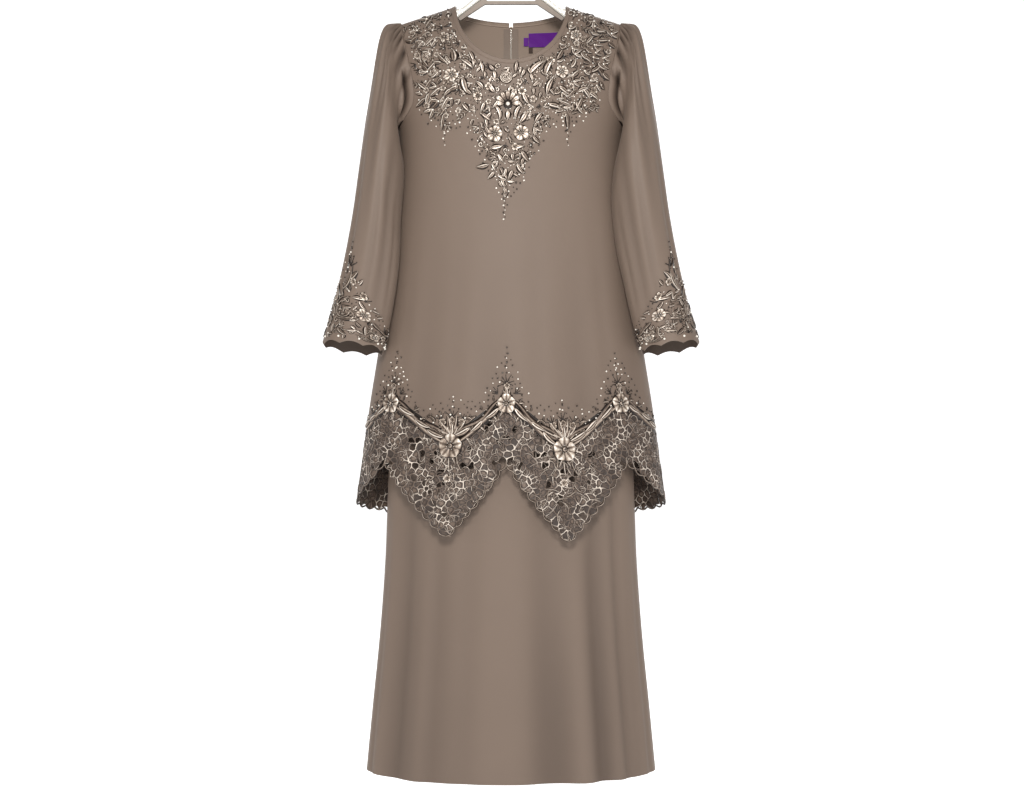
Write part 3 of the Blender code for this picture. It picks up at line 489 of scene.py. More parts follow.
sleeves = {
    "wall": 1.2, "clearance": 3.2,
    "rings": [
        (0.00, 185, -143, 186, 186, -322, 0, 40, 0.0),
        (0.30, 198, -143.5, 190, 190, -335, -1, 46, 1.2),
        (0.65, 210, -150, 186, 184, -354, -6, 54, 3.2),
        (1.00, 219, -172, 181, 176, -378, -14, 58, 3.6),
        (1.00, 226, -208, 179, 170, -406, -24, 60, 2.8),
        (1.00, 235, -262, 182, 167, -444, -34, 60, 1.4),
        (1.00, 245, -322, 185, 170, -486, -42, 57, 0.6),
        (1.00, 255, -395, 186, 177, -534, -49, 52, 0.0),
        (1.00, 266, -475, 190, 187, -580, -54, 47, 0.0),
        (1.00, 281, -553, 197, 197, -624, -57, 43, 0.0),
        (1.00, 298, -622, 205, 207, -661, -58, 41, 0.0),
        (1.00, 315, -677, 213, 218, -690, -59, 42, 0.0),
    ],
    "folds": [(58, 13, 4.5, 1, 7), (118, 14, 5.0, 2, 10), (272, 17, 3.4, 2, 9), (310, 14, 4.0, 1, 7)],
    "headFolds": [(14, 4, 4.6, -0.7, 3.4), (30, 4.5, 5.4, -0.7, 4.8), (47, 5, 5.6, -0.6, 5.6), (64, 5, 4.4, -0.6, 4.6),
                  (328, 5, 4.4, -0.7, 3.8), (346, 4.5, 5.0, -0.7, 4.8), (84, 6, 3.0, -0.5, 4.0)],
    "creases": [(88, 9, 2.6, 3, 10), (32, 8, 2.4, 4, 10), (142, 8, 2.2, 4, 9), (225, 10, 2.0, 3, 10),
                (340, 9, 2.2, 4, 10)],
    "gathers": [(8, 2.6, 7.0, 2.2), (19, 2.8, 10.0, 2.5), (31, 2.8, 11.0, 2.1), (44, 3.0, 11.0, 1.8),
                (64, 4.4, 11.0, 2.2),
                (92, 3.6, 4.0, 3.4), (352, 3.0, 6.0, 2.2), (341, 3.2, 8.0, 2.5), (329, 3.2, 8.0, 2.2),
                (315, 4.2, 6.0, 2.2), (296, 6.0, 7.5, 3.6)],
    "gatherLean": 17, "gatherWiden": 0.5,
    "puff": 5.0, "tuck": (-0.3, 0.17, 9.0, 86, 158), "gatherTurn": 30, "gatherReach": 80,
    "cuffDrop": 8, "cuffScallop": 5, "scallopTurn": 45,
    # The tones on this line paint shade: gathers darker than folds, full shade at this fold depth in mm, and the inside
    # of the sleeve darker still.
    "columns": 192, "rowsPerRing": 7, "fullShadeDepth": 12, "gatherPaintedShade": 2.6, "insidePaintedLightAndShade": 1.3,
}


def armholePoint(sign, turn):
    r = np.where(turn <= 180, turn, 360 - turn) / 22.5
    top, under = tunic["shoulderTop"], tunic["underarm"]
    lowNeck = tunic["neckTop"] - tunic["neckDrop"][front]
    crowd = 0.9 + 0.3 * (top - lowNeck) / (tunic["neckTop"] - lowNeck)
    z = top + (under - top) * soft((r / tunic["upperRows"]) ** crowd)
    point = np.where((turn <= 180)[..., None], bodyPoint(front, sign, z), bodyPoint(back, sign, z))
    point[..., 0] += sign * seamGap
    return point


def ringRead(rows, ring):
    table = np.array(rows, float)
    last = len(rows) - 1
    n = np.clip(np.floor(ring).astype(int), 0, last - 1)
    t = (ring - n)[..., None]
    p0, p1, p2, p3 = (table[np.clip(n + k, 0, last)] for k in (-1, 0, 1, 2))
    return 0.5 * (2 * p1 + (p2 - p0) * t + (2 * p0 - 5 * p1 + 4 * p2 - p3) * t**2 + (3 * p1 - p0 - 3 * p2 + p3) * t**3)


def turnGap(turn, middle):
    return (turn - middle + 180) % 360 - 180


def sleeveFolds(ring, turn):
    # The folds' depth, and the gathers' and tuck's depth beside the armhole.
    fold, gathered = np.zeros(ring.shape), np.zeros(ring.shape)
    for name in ("folds", "headFolds", "creases"):
        for middle, spread, deep, first, last in sleeves[name]:
            along = np.clip((ring - first) / (last - first), 0, 1)
            rise = np.sin(np.pi * along) if name != "headFolds" else soft(along * 4) * (1 - along)
            fold += deep * rise * np.exp(-(turnGap(turn, middle) / spread) ** 2)
    for middle, spread, deep, length in sleeves["gathers"]:
        along = np.clip((ring + 1) / length, 0, 1)
        out = ring + 1
        lean = middle + sleeves["gatherLean"] * out * (1 if middle < 180 else -1)
        wide = spread * (1 + sleeves["gatherWiden"] * out)
        gathered += deep * soft(along * length / 0.3) * (1 - along) ** 1.2 * np.exp(-(turnGap(turn, lean) / wide) ** 2)
    place, spread, deep, first, last = sleeves["tuck"]
    gathered += deep * np.exp(-((ring - place) / spread) ** 2) * soft((turn - first) / 14) * soft((last - turn) / 20)
    return fold, gathered


def sleevePoint(sign, ring, turn):
    ring, turn = np.broadcast_arrays(np.asarray(ring, float), np.mod(np.asarray(turn, float), 360))
    innerColumn = 3 if sign == right else 4
    values = ringRead(sleeves["rings"], np.clip(ring + 1, 0, len(sleeves["rings"]) - 1))
    own, outerX, outerZ, innerX = (values[..., k] for k in (0, 1, 2, innerColumn))
    innerZ, middleY, depth, gather = (values[..., k] for k in (5, 6, 7, 8))
    own = np.clip(own, 0, 1)
    offTop = np.abs(turnGap(turn, 0))
    swell = gather * np.cos(np.radians(turn) * 360 / sleeves["gatherTurn"]) * soft(1 - offTop / sleeves["gatherReach"])
    fold, gathered = sleeveFolds(ring, turn)
    swell = swell - fold
    c, s = np.cos(np.radians(turn)), np.sin(np.radians(turn))
    x = (outerX + innerX) / 2 + ((outerX - innerX) / 2 + swell) * c
    z = (outerZ + innerZ) / 2 + ((outerZ - innerZ) / 2 + swell * 0.6) * c
    y = middleY - (depth + swell) * s
    z = z - sleeves["cuffDrop"] * (1 - s) * np.maximum(0, ring - 7) / 3
    point = np.stack((sign * x, y, z), axis=-1)
    moved = armholePoint(sign, turn)
    moved[..., 0] += sign * (outerX - tunic["shoulderReach"])
    moved[..., 1] += middleY
    point = moved + (point - moved) * own[..., None]
    puff = sleeves["puff"] * soft((ring + 1) / 0.25) * (1 - np.clip((ring + 1) / 3.4, 0, 1)) * soft(1.5 - offTop / 75)
    pinch = gathered - puff * (0.4 + 0.6 * soft(offTop / 35))
    middles = np.stack((sign * (outerX + innerX) / 2, middleY, (outerZ + innerZ) / 2), axis=-1)
    point = point - unit(point - middles) * pinch[..., None]
    width = smoothRead(tunic["body"], 1, point[..., 2]) + sleeves["clearance"]
    deep = np.where(point[..., 1] < 0, smoothRead(tunic["body"], 2, point[..., 2]),
                    smoothRead(tunic["body"], 3, point[..., 2])) + sleeves["clearance"]
    reach = np.hypot(point[..., 0] / width, point[..., 1] / deep)
    push = np.where((reach < 1) & (point[..., 2] < tunic["underarm"] + 12), 1 / np.maximum(reach, 1e-6), 1)
    point[..., 0] *= push
    point[..., 1] *= push
    return point


def sleeveGrid(sign):
    turns = np.arange(sleeves["columns"]) * 360 / sleeves["columns"]
    rings = -1 + 11 * np.linspace(0, 1, 11 * sleeves["rowsPerRing"] + 1) ** 1.2
    grid = sleevePoint(sign, rings[None, :], turns[:, None])
    scallop = sleeves["cuffScallop"] * (1 - np.abs(np.cos(np.pi * turns / sleeves["scallopTurn"])))
    grid[..., 2] -= scallop[:, None] * soft((rings - 9.6) / 0.4)[None, :]
    fold, gathered = sleeveFolds(*np.broadcast_arrays(rings[None, :], turns[:, None]))
    # The folds' and gathers' depth becomes painted shade in the cloth's colour.
    return grid, (fold + sleeves["gatherPaintedShade"] * gathered) / sleeves["fullShadeDepth"]


def sleeveNormals(sign):
    def keep(normals):
        lean = normals[:, 0, 0] * sign
        normals[:, 0, 0] = np.where(lean > 0, 0, normals[:, 0, 0])
        return unit(normals)
    return keep


for hand, word in ((left, "left"), (right, "right")):
    grid, paintedLightAndShade = sleeveGrid(hand)
    part = clothShell("sleeve" + word.title(), grid, sleeves["wall"], ring=True, keepInside=sleeveNormals(hand),
                      paintedLightAndShade=paintedLightAndShade, insidePaintedLightAndShade=sleeves["insidePaintedLightAndShade"])
    dress(part, crepeCloth, ["sleeve_" + word])
print("sleeves made")


# Skirt. rows: z, half width, depth in front, depth behind.

skirt = {
    "wall": 1.3,
    "rows": [
        (-440, 150, 56, 53), (-560, 170, 64, 60), (-720, 190, 76, 72), (-870, 206, 86, 82), (-960, 210, 88, 84),
        (-1060, 214, 90, 86), (-1180, 223, 93, 89), (-1300, 235, 96, 93), (-1425, 247, 99, 96),
    ],
    "folds": {
        front: [(-62, 6, 6.0, -560), (-47, 6, 7.5, -700), (-28, 6, 4.5, -840), (14, 7, 5.0, -860),
                (43, 7, 10.0, -640), (64, 6, 5.5, -900)],
        back: [(-55, 7, 8.0, -620), (-30, 7, 5.5, -760), (-8, 7, 7.0, -700), (22, 8, 6.0, -800), (50, 7, 9.0, -640)],
    },
    "creases": {
        front: [(-76, 3.5, 5.0, -860), (-55, 5.5, 11.0, -500), (-35, 5.5, 7.5, -500), (-19, 5.5, 4.0, -600),
                (14, 6.5, 6.0, -480), (22, 6, 9.0, -900), (40, 5.5, 8.0, -480),
                (56, 4.5, 9.0, -480), (75, 3.5, 5.0, -820)],
        back: [(-70, 4, 4.0, -700), (-42, 4, 4.0, -640), (-19, 4, 3.4, -820), (7, 4, 3.8, -700), (35, 4, 4.2, -700),
               (66, 4, 4.4, -760)],
    },
    # The last entry on the next line is the fold depth in mm that gets the full painted shade.
    "hem": (-1408, -1418), "columns": 180, "rowCount": 64, "fullShadeDepth": 17,
    "bandTop": -405, "bandWall": 2.0,
}


def skirtPoint(side, s, z):
    s, z = np.broadcast_arrays(np.asarray(s, float), np.asarray(z, float))
    width = smoothRead(skirt["rows"], 1, z)
    depth = smoothRead(skirt["rows"], 2 if side == front else 3, z)
    level = np.sqrt(np.maximum(0, 1 - s * s))
    pull = pullOn(skirt, side, s, z, skirt["hem"][0]) * np.minimum(1, 2 * level)
    return np.stack(((width - pull * np.abs(s)) * s,
                     side * (seamGap / 2 + np.maximum(0, depth - pull) * level), z), axis=-1)


def skirtGrid(side):
    s = np.sin(np.pi * (np.linspace(0, 1, skirt["columns"] + 1) - 0.5))
    bottom = skirt["hem"][1] + (skirt["hem"][0] - skirt["hem"][1]) * s ** 6
    top = skirt["rows"][0][0]
    share = np.linspace(0, 1, skirt["rowCount"] + 1)
    z = top + (bottom[:, None] - top) * share[None, :]
    s = np.broadcast_to(s[:, None], z.shape)
    # The folds' depth becomes painted shade in the cloth's colour.
    return skirtPoint(side, s, z), pullOn(skirt, side, s, z, skirt["hem"][0]) / skirt["fullShadeDepth"]


for side, word in ((front, "front"), (back, "back")):
    grid, paintedLightAndShade = skirtGrid(side)
    part = clothShell("skirt" + word.title(), grid, skirt["wall"], outward=(0, 0, -950),
                      keepInside=seamNormals([0, -1]), paintedLightAndShade=paintedLightAndShade)
    dress(part, crepeCloth, ["skirt_" + word])
print("skirt made")


# Lace. An irregular net: every cell has a raised thread round it, and is open or filled with stitches. A dark rim at
# the foot of each thread, and the darkest filled cells, are painted shade.
# rosettes: angle round the hem, share of the way down the lace.

lace = {
    "pitch": 12.2, "rowPitch": 10.2, "jitter": 3.6, "thread": 0.95, "rise": 0.8, "open": 0.1, "edgeRoom": 3.2,
    "sideOpen": 0.0, "sideAngle": 52, "arcGap": 9.5, "arcWidth": 1.5,
    "sloped": 0.45, "scallop": 20, "scallopDepth": 4.5, "bow": 3, "warp": 1.1,
    "rosetteRadius": 8.0, "rosettePetals": 7,
    "rosettes": {
        front: [(-78, 0.55), (-62, 0.5), (-47, 0.62), (-33, 0.7), (-24, 0.52), (-23.5, 0.86), (-15, 0.64),
                (-2, 0.5), (10, 0.66), (20.5, 0.5), (20.5, 0.87), (30, 0.62), (44, 0.55), (62, 0.55), (77, 0.6)],
        back: [(-76, 0.5), (-58, 0.62), (-40, 0.55), (-27, 0.8), (-14, 0.55), (0, 0.55), (14, 0.6), (27, 0.8),
               (42, 0.55), (60, 0.6), (77, 0.5)],
    },
}


def laceOutline(side):
    keys = [np.array((float(lengthAt(a)), z)) for a, _, z in tunic["hem"][side]]
    edge = [keys[0]]
    for start, end in zip(keys, keys[1:]):
        count = max(2, round(np.linalg.norm(end - start) / lace["scallop"]))
        along = unit(end - start)
        outward = np.array((-along[1], along[0])) * (-1 if along[0] > 0 else 1)
        for k in range(1, 6 * count + 1):
            share = k / (6 * count)
            bulge = lace["bow"] * math.sin(math.pi * share) + lace["scallopDepth"] * abs(math.sin(math.pi * k / 6))
            edge.append(start + (end - start) * share + outward * bulge)
    reach = float(lengthAt(90))
    tops = [np.array((x, float(hemHeight(side, x, 1)) - lace["sloped"])) for x in np.linspace(-reach, reach, 121)]
    return np.array(tops + edge[::-1])


def insideOutline(points, outline):
    x, y = points[:, 0][:, None], points[:, 1][:, None]
    ax, ay = outline[:, 0], outline[:, 1]
    bx, by = np.roll(ax, -1), np.roll(ay, -1)
    rise = np.where(by == ay, 1e-9, by - ay)
    crossed = ((ay > y) != (by > y)) & (x < ax + (bx - ax) * (y - ay) / rise)
    return crossed.sum(axis=1) % 2 == 1


def nearestOn(points, outline):
    a, b = outline, np.roll(outline, -1, axis=0)
    run = b - a
    share = ((points[:, None] - a) * run).sum(-1) / np.maximum((run * run).sum(-1), 1e-9)
    feet = a + np.clip(share, 0, 1)[..., None] * run
    gaps = np.linalg.norm(points[:, None] - feet, axis=-1)
    best = gaps.argmin(axis=1)
    pick = np.arange(len(points))
    return feet[pick, best], gaps[pick, best]


def laceSeeds(side, outline):
    low, high = outline.min(axis=0), outline.max(axis=0)
    seeds = []
    rows = int((high[1] - low[1]) / lace["rowPitch"]) + 1
    columns = int((high[0] - low[0]) / lace["pitch"]) + 1
    for row in range(rows):
        for column in range(columns + 1):
            seeds.append((low[0] + (column + 0.5 * (row % 2)) * lace["pitch"] + dice.uniform(-1, 1) * lace["jitter"],
                          high[1] - row * lace["rowPitch"] + dice.uniform(-1, 1) * lace["jitter"]))
    seeds = np.array(seeds)
    for angle, share in lace["rosettes"][side]:
        length = float(lengthAt(angle))
        top, bottom = float(hemHeight(side, length, 1)), float(hemHeight(side, length, 2))
        middle = np.array((length, top + (bottom - top) * share))
        radius, petals = lace["rosetteRadius"], lace["rosettePetals"]
        seeds = seeds[np.linalg.norm(seeds - middle, axis=1) > radius * 1.55]
        ring = [middle + radius * np.array((math.cos(a), math.sin(a)))
                for a in np.arange(petals) * math.tau / petals + angle]
        seeds = np.concatenate((seeds, [middle], ring))
    seeds = seeds[insideOutline(seeds, outline)]
    feet, gaps = nearestOn(seeds, outline)
    keep = gaps > lace["edgeRoom"]
    return seeds[keep], feet[keep], gaps[keep]


def laceCells(side):
    outline = laceOutline(side)
    seeds, feet, gaps = laceSeeds(side, outline)
    close = gaps < 2.2 * lace["pitch"]
    ghosts = 2 * feet[close] - seeds[close]
    every = np.concatenate((seeds, ghosts))
    flat, _, triangles, origins, *_ = delaunay_2d_cdt([Vector(p) for p in every], [], [], 0, 1e-6)
    around = {}
    points = np.array(flat)
    source = [o[0] if o else -1 for o in origins]
    for triangle in triangles:
        a, b, c = points[list(triangle)]
        d = 2 * (a[0] * (b[1] - c[1]) + b[0] * (c[1] - a[1]) + c[0] * (a[1] - b[1]))
        if abs(d) < 1e-9:
            continue
        middle = np.array(((a @ a * (b[1] - c[1]) + b @ b * (c[1] - a[1]) + c @ c * (a[1] - b[1])) / d,
                           (a @ a * (c[0] - b[0]) + b @ b * (a[0] - c[0]) + c @ c * (b[0] - a[0])) / d))
        for corner in triangle:
            around.setdefault(source[corner], []).append(middle)
    cells = []
    for n, seed in enumerate(seeds):
        ring = around.get(n)
        if not ring or len(ring) < 3:
            continue
        arms = np.array(ring) - seed
        reach = np.linalg.norm(arms, axis=1, keepdims=True)
        arms *= np.minimum(1, 0.95 * lace["pitch"] / np.maximum(reach, 1e-6))
        arms = arms[np.argsort(np.arctan2(arms[:, 1], arms[:, 0]))]
        cells.append((seed, seed + arms))
    return cells


def warped(points):
    x, y = points[:, 0], points[:, 1]
    size = lace["warp"]
    return np.stack((x + size * np.sin(0.41 * y + 1.3 * np.sin(0.23 * x)),
                     y + size * np.sin(0.37 * x + 1.7 * np.sin(0.29 * y))), axis=1)


def tonedMesh(name, verts, faces, tones, uv=None):
    mesh = bpy.data.meshes.new(name)
    mesh.from_pydata((np.asarray(verts) * mm).tolist(), [], faces)
    mesh.attributes.new("tone", "FLOAT", "POINT").data.foreach_set("value", np.asarray(tones, np.float32))
    corner = np.zeros(len(mesh.loops), np.int32)
    mesh.loops.foreach_get("vertex_index", corner)
    uv = np.asarray(verts)[:, [0, 2]] if uv is None else np.asarray(uv)
    layer = mesh.uv_layers.new(name="thread")
    layer.data.foreach_set("uv", (uv[corner] * mm).astype(np.float32).ravel())
    mesh.shade_smooth()
    thing = bpy.data.objects.new(name, mesh)
    bpy.context.scene.collection.objects.link(thing)
    return thing


def makeLace(name, side):
    flat, heights, tones, faces = [], [], [], []
    for seed, ring in laceCells(side):
        fine = []
        for a, b in zip(ring, np.roll(ring, -1, axis=0)):
            steps = 3 if np.linalg.norm(b - a) > 2.5 else 1
            fine += [a + (b - a) * k / steps for k in range(steps)]
        fine = np.array(fine)
        count = len(fine)
        toSeed = seed - fine
        span = np.linalg.norm(toSeed, axis=1, keepdims=True)
        inner = fine + toSeed / span * np.minimum(lace["thread"], span * 0.45)
        for _ in range(3):
            inner = (np.roll(inner, 1, axis=0) + 2 * inner + np.roll(inner, -1, axis=0)) / 4
        atSide = abs(float(angleAt(seed[0]))) > lace["sideAngle"]
        opened = dice.random() < lace["sideOpen" if atSide else "open"]
        # Filled cells take a random tone; the darkest stand in for the shade seen through a gap: painted shade.
        shade = dice.choice((0.1, 0.24, 0.34, 0.42, 0.48))
        bright = 0.74 + 0.2 * np.sin(0.11 * fine[:, 0] + 2 * np.sin(0.07 * fine[:, 1]))
        start = len(flat)
        # The ring at the foot of the thread and the rim of an open cell are dark: painted shade.
        rings = [(fine, lace["rise"], bright), (fine + (inner - fine) * 0.4, lace["rise"] * 0.85, bright * 0.9),
                 (inner, 0.1, 0.16)]
        if opened:
            rings.append((inner + toSeed / span * 0.15, -0.5, 0.1))
        else:
            rings.append((inner + (seed - inner) * 0.45, 0.0, shade))
        for level, (points, height, tone) in enumerate(rings):
            ribbed = level == 3 and not opened
            flat += points.tolist()
            heights += [height + (0.35 if ribbed and k % 2 else 0.0) for k in range(count)]
            tones += (np.broadcast_to(tone, count) + [0.24 if ribbed and k % 2 else 0.0 for k in range(count)]).tolist()
        for level in range(len(rings) - 1):
            for k in range(count):
                n = (k + 1) % count
                base = start + level * count
                faces.append((base + k, base + n, base + count + n, base + count + k))
        if not opened:
            flat.append(seed.tolist())
            heights.append(0.35)
            tones.append(shade + 0.2)
            base = start + 3 * count
            faces += [(base + k, base + (k + 1) % count, base + count) for k in range(count)]
    flat = warped(np.array(flat))
    reach = float(lengthAt(90))
    flat[:, 0] = np.clip(flat[:, 0], -reach, reach)
    verts = onHem(side, flat[:, 0], flat[:, 1], np.array(heights))
    verts[:, 1] = np.where(verts[:, 1] * side < seamGap / 2, side * seamGap / 2, verts[:, 1])
    if side == front:
        faces = [f[::-1] for f in faces]
    return tonedMesh(name, verts, faces, tones, flat)


def toneStops(*stops):
    return [(place, srgb(*colour)) for place, colour in stops]


laceLook = {
    # The darkest tone is painted shade, at the threads' feet and in dark cells.
    "dark": (22, 15, 11), "ground": (64, 50, 41), "middle": (108, 91, 78), "thread": (250, 238, 224),
    "roughness": 0.5, "grain": 2600.0,
}


def toneMaterial(name, stops, grain, depth, shade, **constant):
    material, tree, shader = newMaterial(name, **constant)
    tone = tree.nodes.new("ShaderNodeAttribute")
    tone.attribute_name = "tone"
    colour = rampNode(tree, tone.outputs["Fac"], stops)
    grainOn(tree, shader, texturePlace(tree, "UV"), colour, grain, depth, shade)
    return material


laceThread = toneMaterial(
    "laceThread", toneStops((0.0, laceLook["dark"]), (0.35, laceLook["ground"]), (0.65, laceLook["middle"]),
                            (1.0, laceLook["thread"])),
    laceLook["grain"], 0.5, 0.16, Roughness=laceLook["roughness"], Sheen_Weight=0.15)
for side, word in ((front, "front"), (back, "back")):
    dress(makeLace("lace" + word.title(), side), laceThread, ["lace_" + word])


# Embroidery. A motif is drawn in millimetres on a flat chart (across, up). Each point has a height over the cloth
# and a tone, from painted shade at the edge to a painted highlight on the crest. The chart's place function then lays
# it on the cloth.

threadLook = {
    # The first tone is painted shade at the motifs' edges and the last is a painted highlight on the crest; the tones
    # between are the thread's own colours.
    "edge": (24, 17, 13), "low": (72, 58, 49), "middle": (132, 115, 101), "high": (208, 194, 179),
    "paintedHighlight": (255, 250, 243), "metallic": 0.25, "roughness": 0.3, "grain": 1900.0,
    "pearl": (240, 232, 221), "darkBead": (52, 41, 34),
}

# Each row of a profile: share of the half width, height, tone. The low tones at the sides paint shade at the edges, and
# the brightest tone, off the middle, paints a highlight.
leafProfile = [(-1.4, 0, 0), (-1.05, 0.35, 0.02), (-0.78, 0.8, 0.4), (-0.42, 1, 0.98), (0, 0.5, 0.16),
               (0.42, 0.92, 0.66), (0.78, 0.72, 0.32), (1.05, 0.35, 0.02), (1.4, 0, 0)]
petalProfile = [(-1.18, 0, 0), (-0.98, 0.4, 0.06), (-0.66, 0.85, 0.66), (-0.3, 1, 0.94), (0, 0.8, 0.5), (0.3, 1, 1),
                (0.66, 0.85, 0.76), (0.98, 0.4, 0.08), (1.18, 0, 0)]
vineProfile = [(-1.7, 0, 0), (-0.8, 0.6, 0.3), (0, 1, 0.85), (0.8, 0.6, 0.34), (1.7, 0, 0)]
cordProfile = [(-1.35, 0, 0), (-1.05, 0.3, 0.02), (-0.7, 0.75, 0.3), (-0.25, 1, 0.62), (0.1, 1, 0.96),
               (0.45, 0.92, 0.58), (0.8, 0.6, 0.26), (1.05, 0.3, 0.02), (1.35, 0, 0)]
twigProfile = [(-1.5, 0, 0), (0, 1, 0.12), (1.5, 0, 0)]


def newWork():
    return {"flat": [], "rise": [], "tone": [], "faces": [], "count": 0, "light": [], "dark": []}


def addGrid(work, flat, rise, tone, closed=False):
    rows, across = flat.shape[:2]
    i, j = np.meshgrid(np.arange(rows if closed else rows - 1), np.arange(across - 1), indexing="ij")
    a, b = (i * across + j).ravel(), (((i + 1) % rows) * across + j).ravel()
    work["faces"].append(np.stack((a, b, b + 1, a + 1), axis=1) + work["count"])
    work["flat"].append(flat.reshape(-1, 2))
    work["rise"].append(rise.ravel())
    work["tone"].append(tone.ravel())
    work["count"] += rows * across


def strip(work, line, half, profile, height, lift, bright=1.0, grow=None):
    along = unit(np.gradient(line, axis=0))
    aside = np.stack((-along[:, 1], along[:, 0]), axis=1)
    share, high, tone = np.array(profile, float).T
    flat = line[:, None] + aside[:, None] * (share[None] * half[:, None])[..., None]
    swell = np.minimum(1, 1.5 * half / half.max()) * (1 if grow is None else grow)
    rise = lift * (high > 0) + 0.1 + height * high[None] * swell[:, None]
    stitched = 1 + 0.12 * (np.arange(len(line)) % 2)[:, None]
    addGrid(work, flat, rise, np.clip(tone[None] * bright * stitched, 0, 1))


def curve(at, angle, length, bend=0.0, steps=8):
    heading = np.radians(angle + bend * (np.linspace(0, 1, steps) - 0.5))
    step = np.stack((np.cos(heading), np.sin(heading)), axis=1) * length / (steps - 1)
    line = np.cumsum(step, axis=0)
    return np.asarray(at, float) + line - step[0]


def leaf(work, at, angle, length, width, bend=25.0, bright=1.0, lift=0.5):
    line = curve(at, angle, length, bend)
    t = np.linspace(0, 1, len(line))
    half = 0.08 + width / 2 * np.sin(np.pi * t ** 0.8) ** 0.75
    strip(work, line, half, leafProfile, 0.5 + width * 0.16, lift, bright)


def vine(work, line, width, bright=0.8, lift=0.35, profile=None, height=1.0):
    t = np.linspace(0, 1, len(line))
    half = width / 2 * (0.25 + 0.75 * np.sin(np.pi * np.clip(t * 1.08, 0, 1)) ** 0.5)
    strip(work, line, half, vineProfile if profile is None else profile, height, lift, bright)


def headingOf(angle):
    return np.array((math.cos(math.radians(angle)), math.sin(math.radians(angle))))


def petal(work, at, angle, radius, width, bright=1.0, lift=1.0, start=0.16):
    t = np.linspace(0, 1, 8)
    reach = radius * (start + (1 - start) * t)
    heading = headingOf(angle)
    tip = np.sqrt(np.maximum(0, 1 - ((t - 0.6) / 0.4) ** 2))
    half = width / 2 * np.where(t < 0.6, 0.35 + 0.65 * soft(t / 0.6), tip)
    strip(work, np.asarray(at) + heading * reach[:, None], half + 0.06, petalProfile, 0.09 * radius + 0.6, lift,
          bright * (1 if dice.random() > 0.3 else 0.82) * (0.55 + 0.5 * t)[:, None], grow=0.55 + 0.6 * t)


def dome(work, at, radius, height, tones, lift):
    turns = np.radians(np.arange(0, 360, 30))
    rings = np.array((1.0, 0.72, 0.4, 0.04)) * radius
    flat = np.stack((at[0] + np.cos(turns)[:, None] * rings, at[1] + np.sin(turns)[:, None] * rings), axis=-1)
    rise = np.broadcast_to(lift + height * np.array((0, 0.6, 0.92, 1.0)), flat.shape[:2])
    addGrid(work, flat, rise, np.broadcast_to(np.array(tones, float), flat.shape[:2]), closed=True)


def bead(work, kind, x, z, radius=1.2, lift=0.3):
    work[kind].append((x, z, radius, lift))


def flower(work, at, radius, petals=5, turn=90.0, bright=1.0, lift=1.0):
    for k in range(petals):
        heading = turn + 360 * k / petals + dice.uniform(-5, 5)
        reach = radius * dice.uniform(0.92, 1.04)
        petal(work, at, heading, reach, 1.95 * radius * math.sin(math.pi / petals), bright, lift + 0.25 * (k % 2))
        for spread in (-13, 0, 13) if radius > 7 else (0,):
            way = heading + spread
            line = curve(np.asarray(at) + 0.25 * radius * headingOf(way), way, 0.4 * reach, 0, 5)
            strip(work, line, np.linspace(0.5, 0.2, 5), twigProfile, 0.25, lift + 0.09 * radius + 0.65)
        if radius > 9:
            between = heading + 180 / petals
            line = curve(np.asarray(at) + 0.3 * radius * headingOf(between), between, 0.42 * radius, 0, 5)
            strip(work, line, np.linspace(0.6, 1.3, 5), twigProfile, 0.3, lift + 0.06 * radius + 0.7)
    dome(work, at, 0.3 * radius, 0.12 * radius + 1.6, (0, 0.2, 0.75, 0.5), lift + 0.2)
    bead(work, "dark", at[0], at[1], 0.11 * radius, lift + 0.12 * radius + 1.6)
    if radius > 9:
        for k in range(7):
            a = math.radians(turn + 360 * k / 7)
            bead(work, "light", at[0] + 0.3 * radius * math.cos(a), at[1] + 0.3 * radius * math.sin(a), 0.65,
                 lift + 1.4)


def lotus(work, at, radius, turn=90.0):
    for k, spread in enumerate((-84, 84, -56, 56, -28, 28, 0)):
        reach = radius * (0.84 if abs(spread) > 60 else 1)
        petal(work, at, turn + spread, reach, 0.44 * radius, 1, 0.8 + 0.15 * k, 0.34)
    for sign in (-1, 1):
        leaf(work, (at[0] + sign * radius * 0.95, at[1] - radius * 0.1), turn + 180 - sign * 22, radius * 1.25,
             radius * 0.3, sign * 80, 1, 0.9)
    dome(work, at, 0.34 * radius, 2.6, (0, 0.15, 0.3, 0.1), 1.6)
    bead(work, "light", at[0], at[1], 0.15 * radius, 3.6)
    leaf(work, (at[0], at[1] - 0.42 * radius), turn + 180, 0.75 * radius, 0.34 * radius, 0, 1.15, 1.4)


def curl(work, at, angle, radius, sign=1, width=1.5, bright=0.85, lift=0.4):
    t = np.linspace(0, 1, 13)
    turn = np.radians(angle) + sign * t * math.radians(400)
    reach = radius * (1 - 0.78 * t)
    middle = np.asarray(at, float) + radius * headingOf(angle + 180)
    vine(work, middle + np.stack((np.cos(turn), np.sin(turn)), axis=1) * reach[:, None], width, bright, lift)


def sprig(work, at, angle, length, pairs=3, size=7.0, bend=30.0, bright=0.95):
    stem = curve(at, angle, length, bend)
    vine(work, stem, 1.2, 0.6, 0.3)
    for k in range(pairs):
        place = stem[min(2 + 2 * k, 7)]
        heading = angle + bend * ((2 + 2 * k) / 7 - 0.5)
        for sign in (-1, 1):
            leaf(work, place, heading + sign * dice.uniform(38, 60), size * dice.uniform(0.8, 1.1), size * 0.36,
                 sign * 30, bright * dice.uniform(0.75, 1.05), 0.6)
    leaf(work, stem[-1], angle + bend / 2, size, size * 0.4, 0, bright, 0.6)


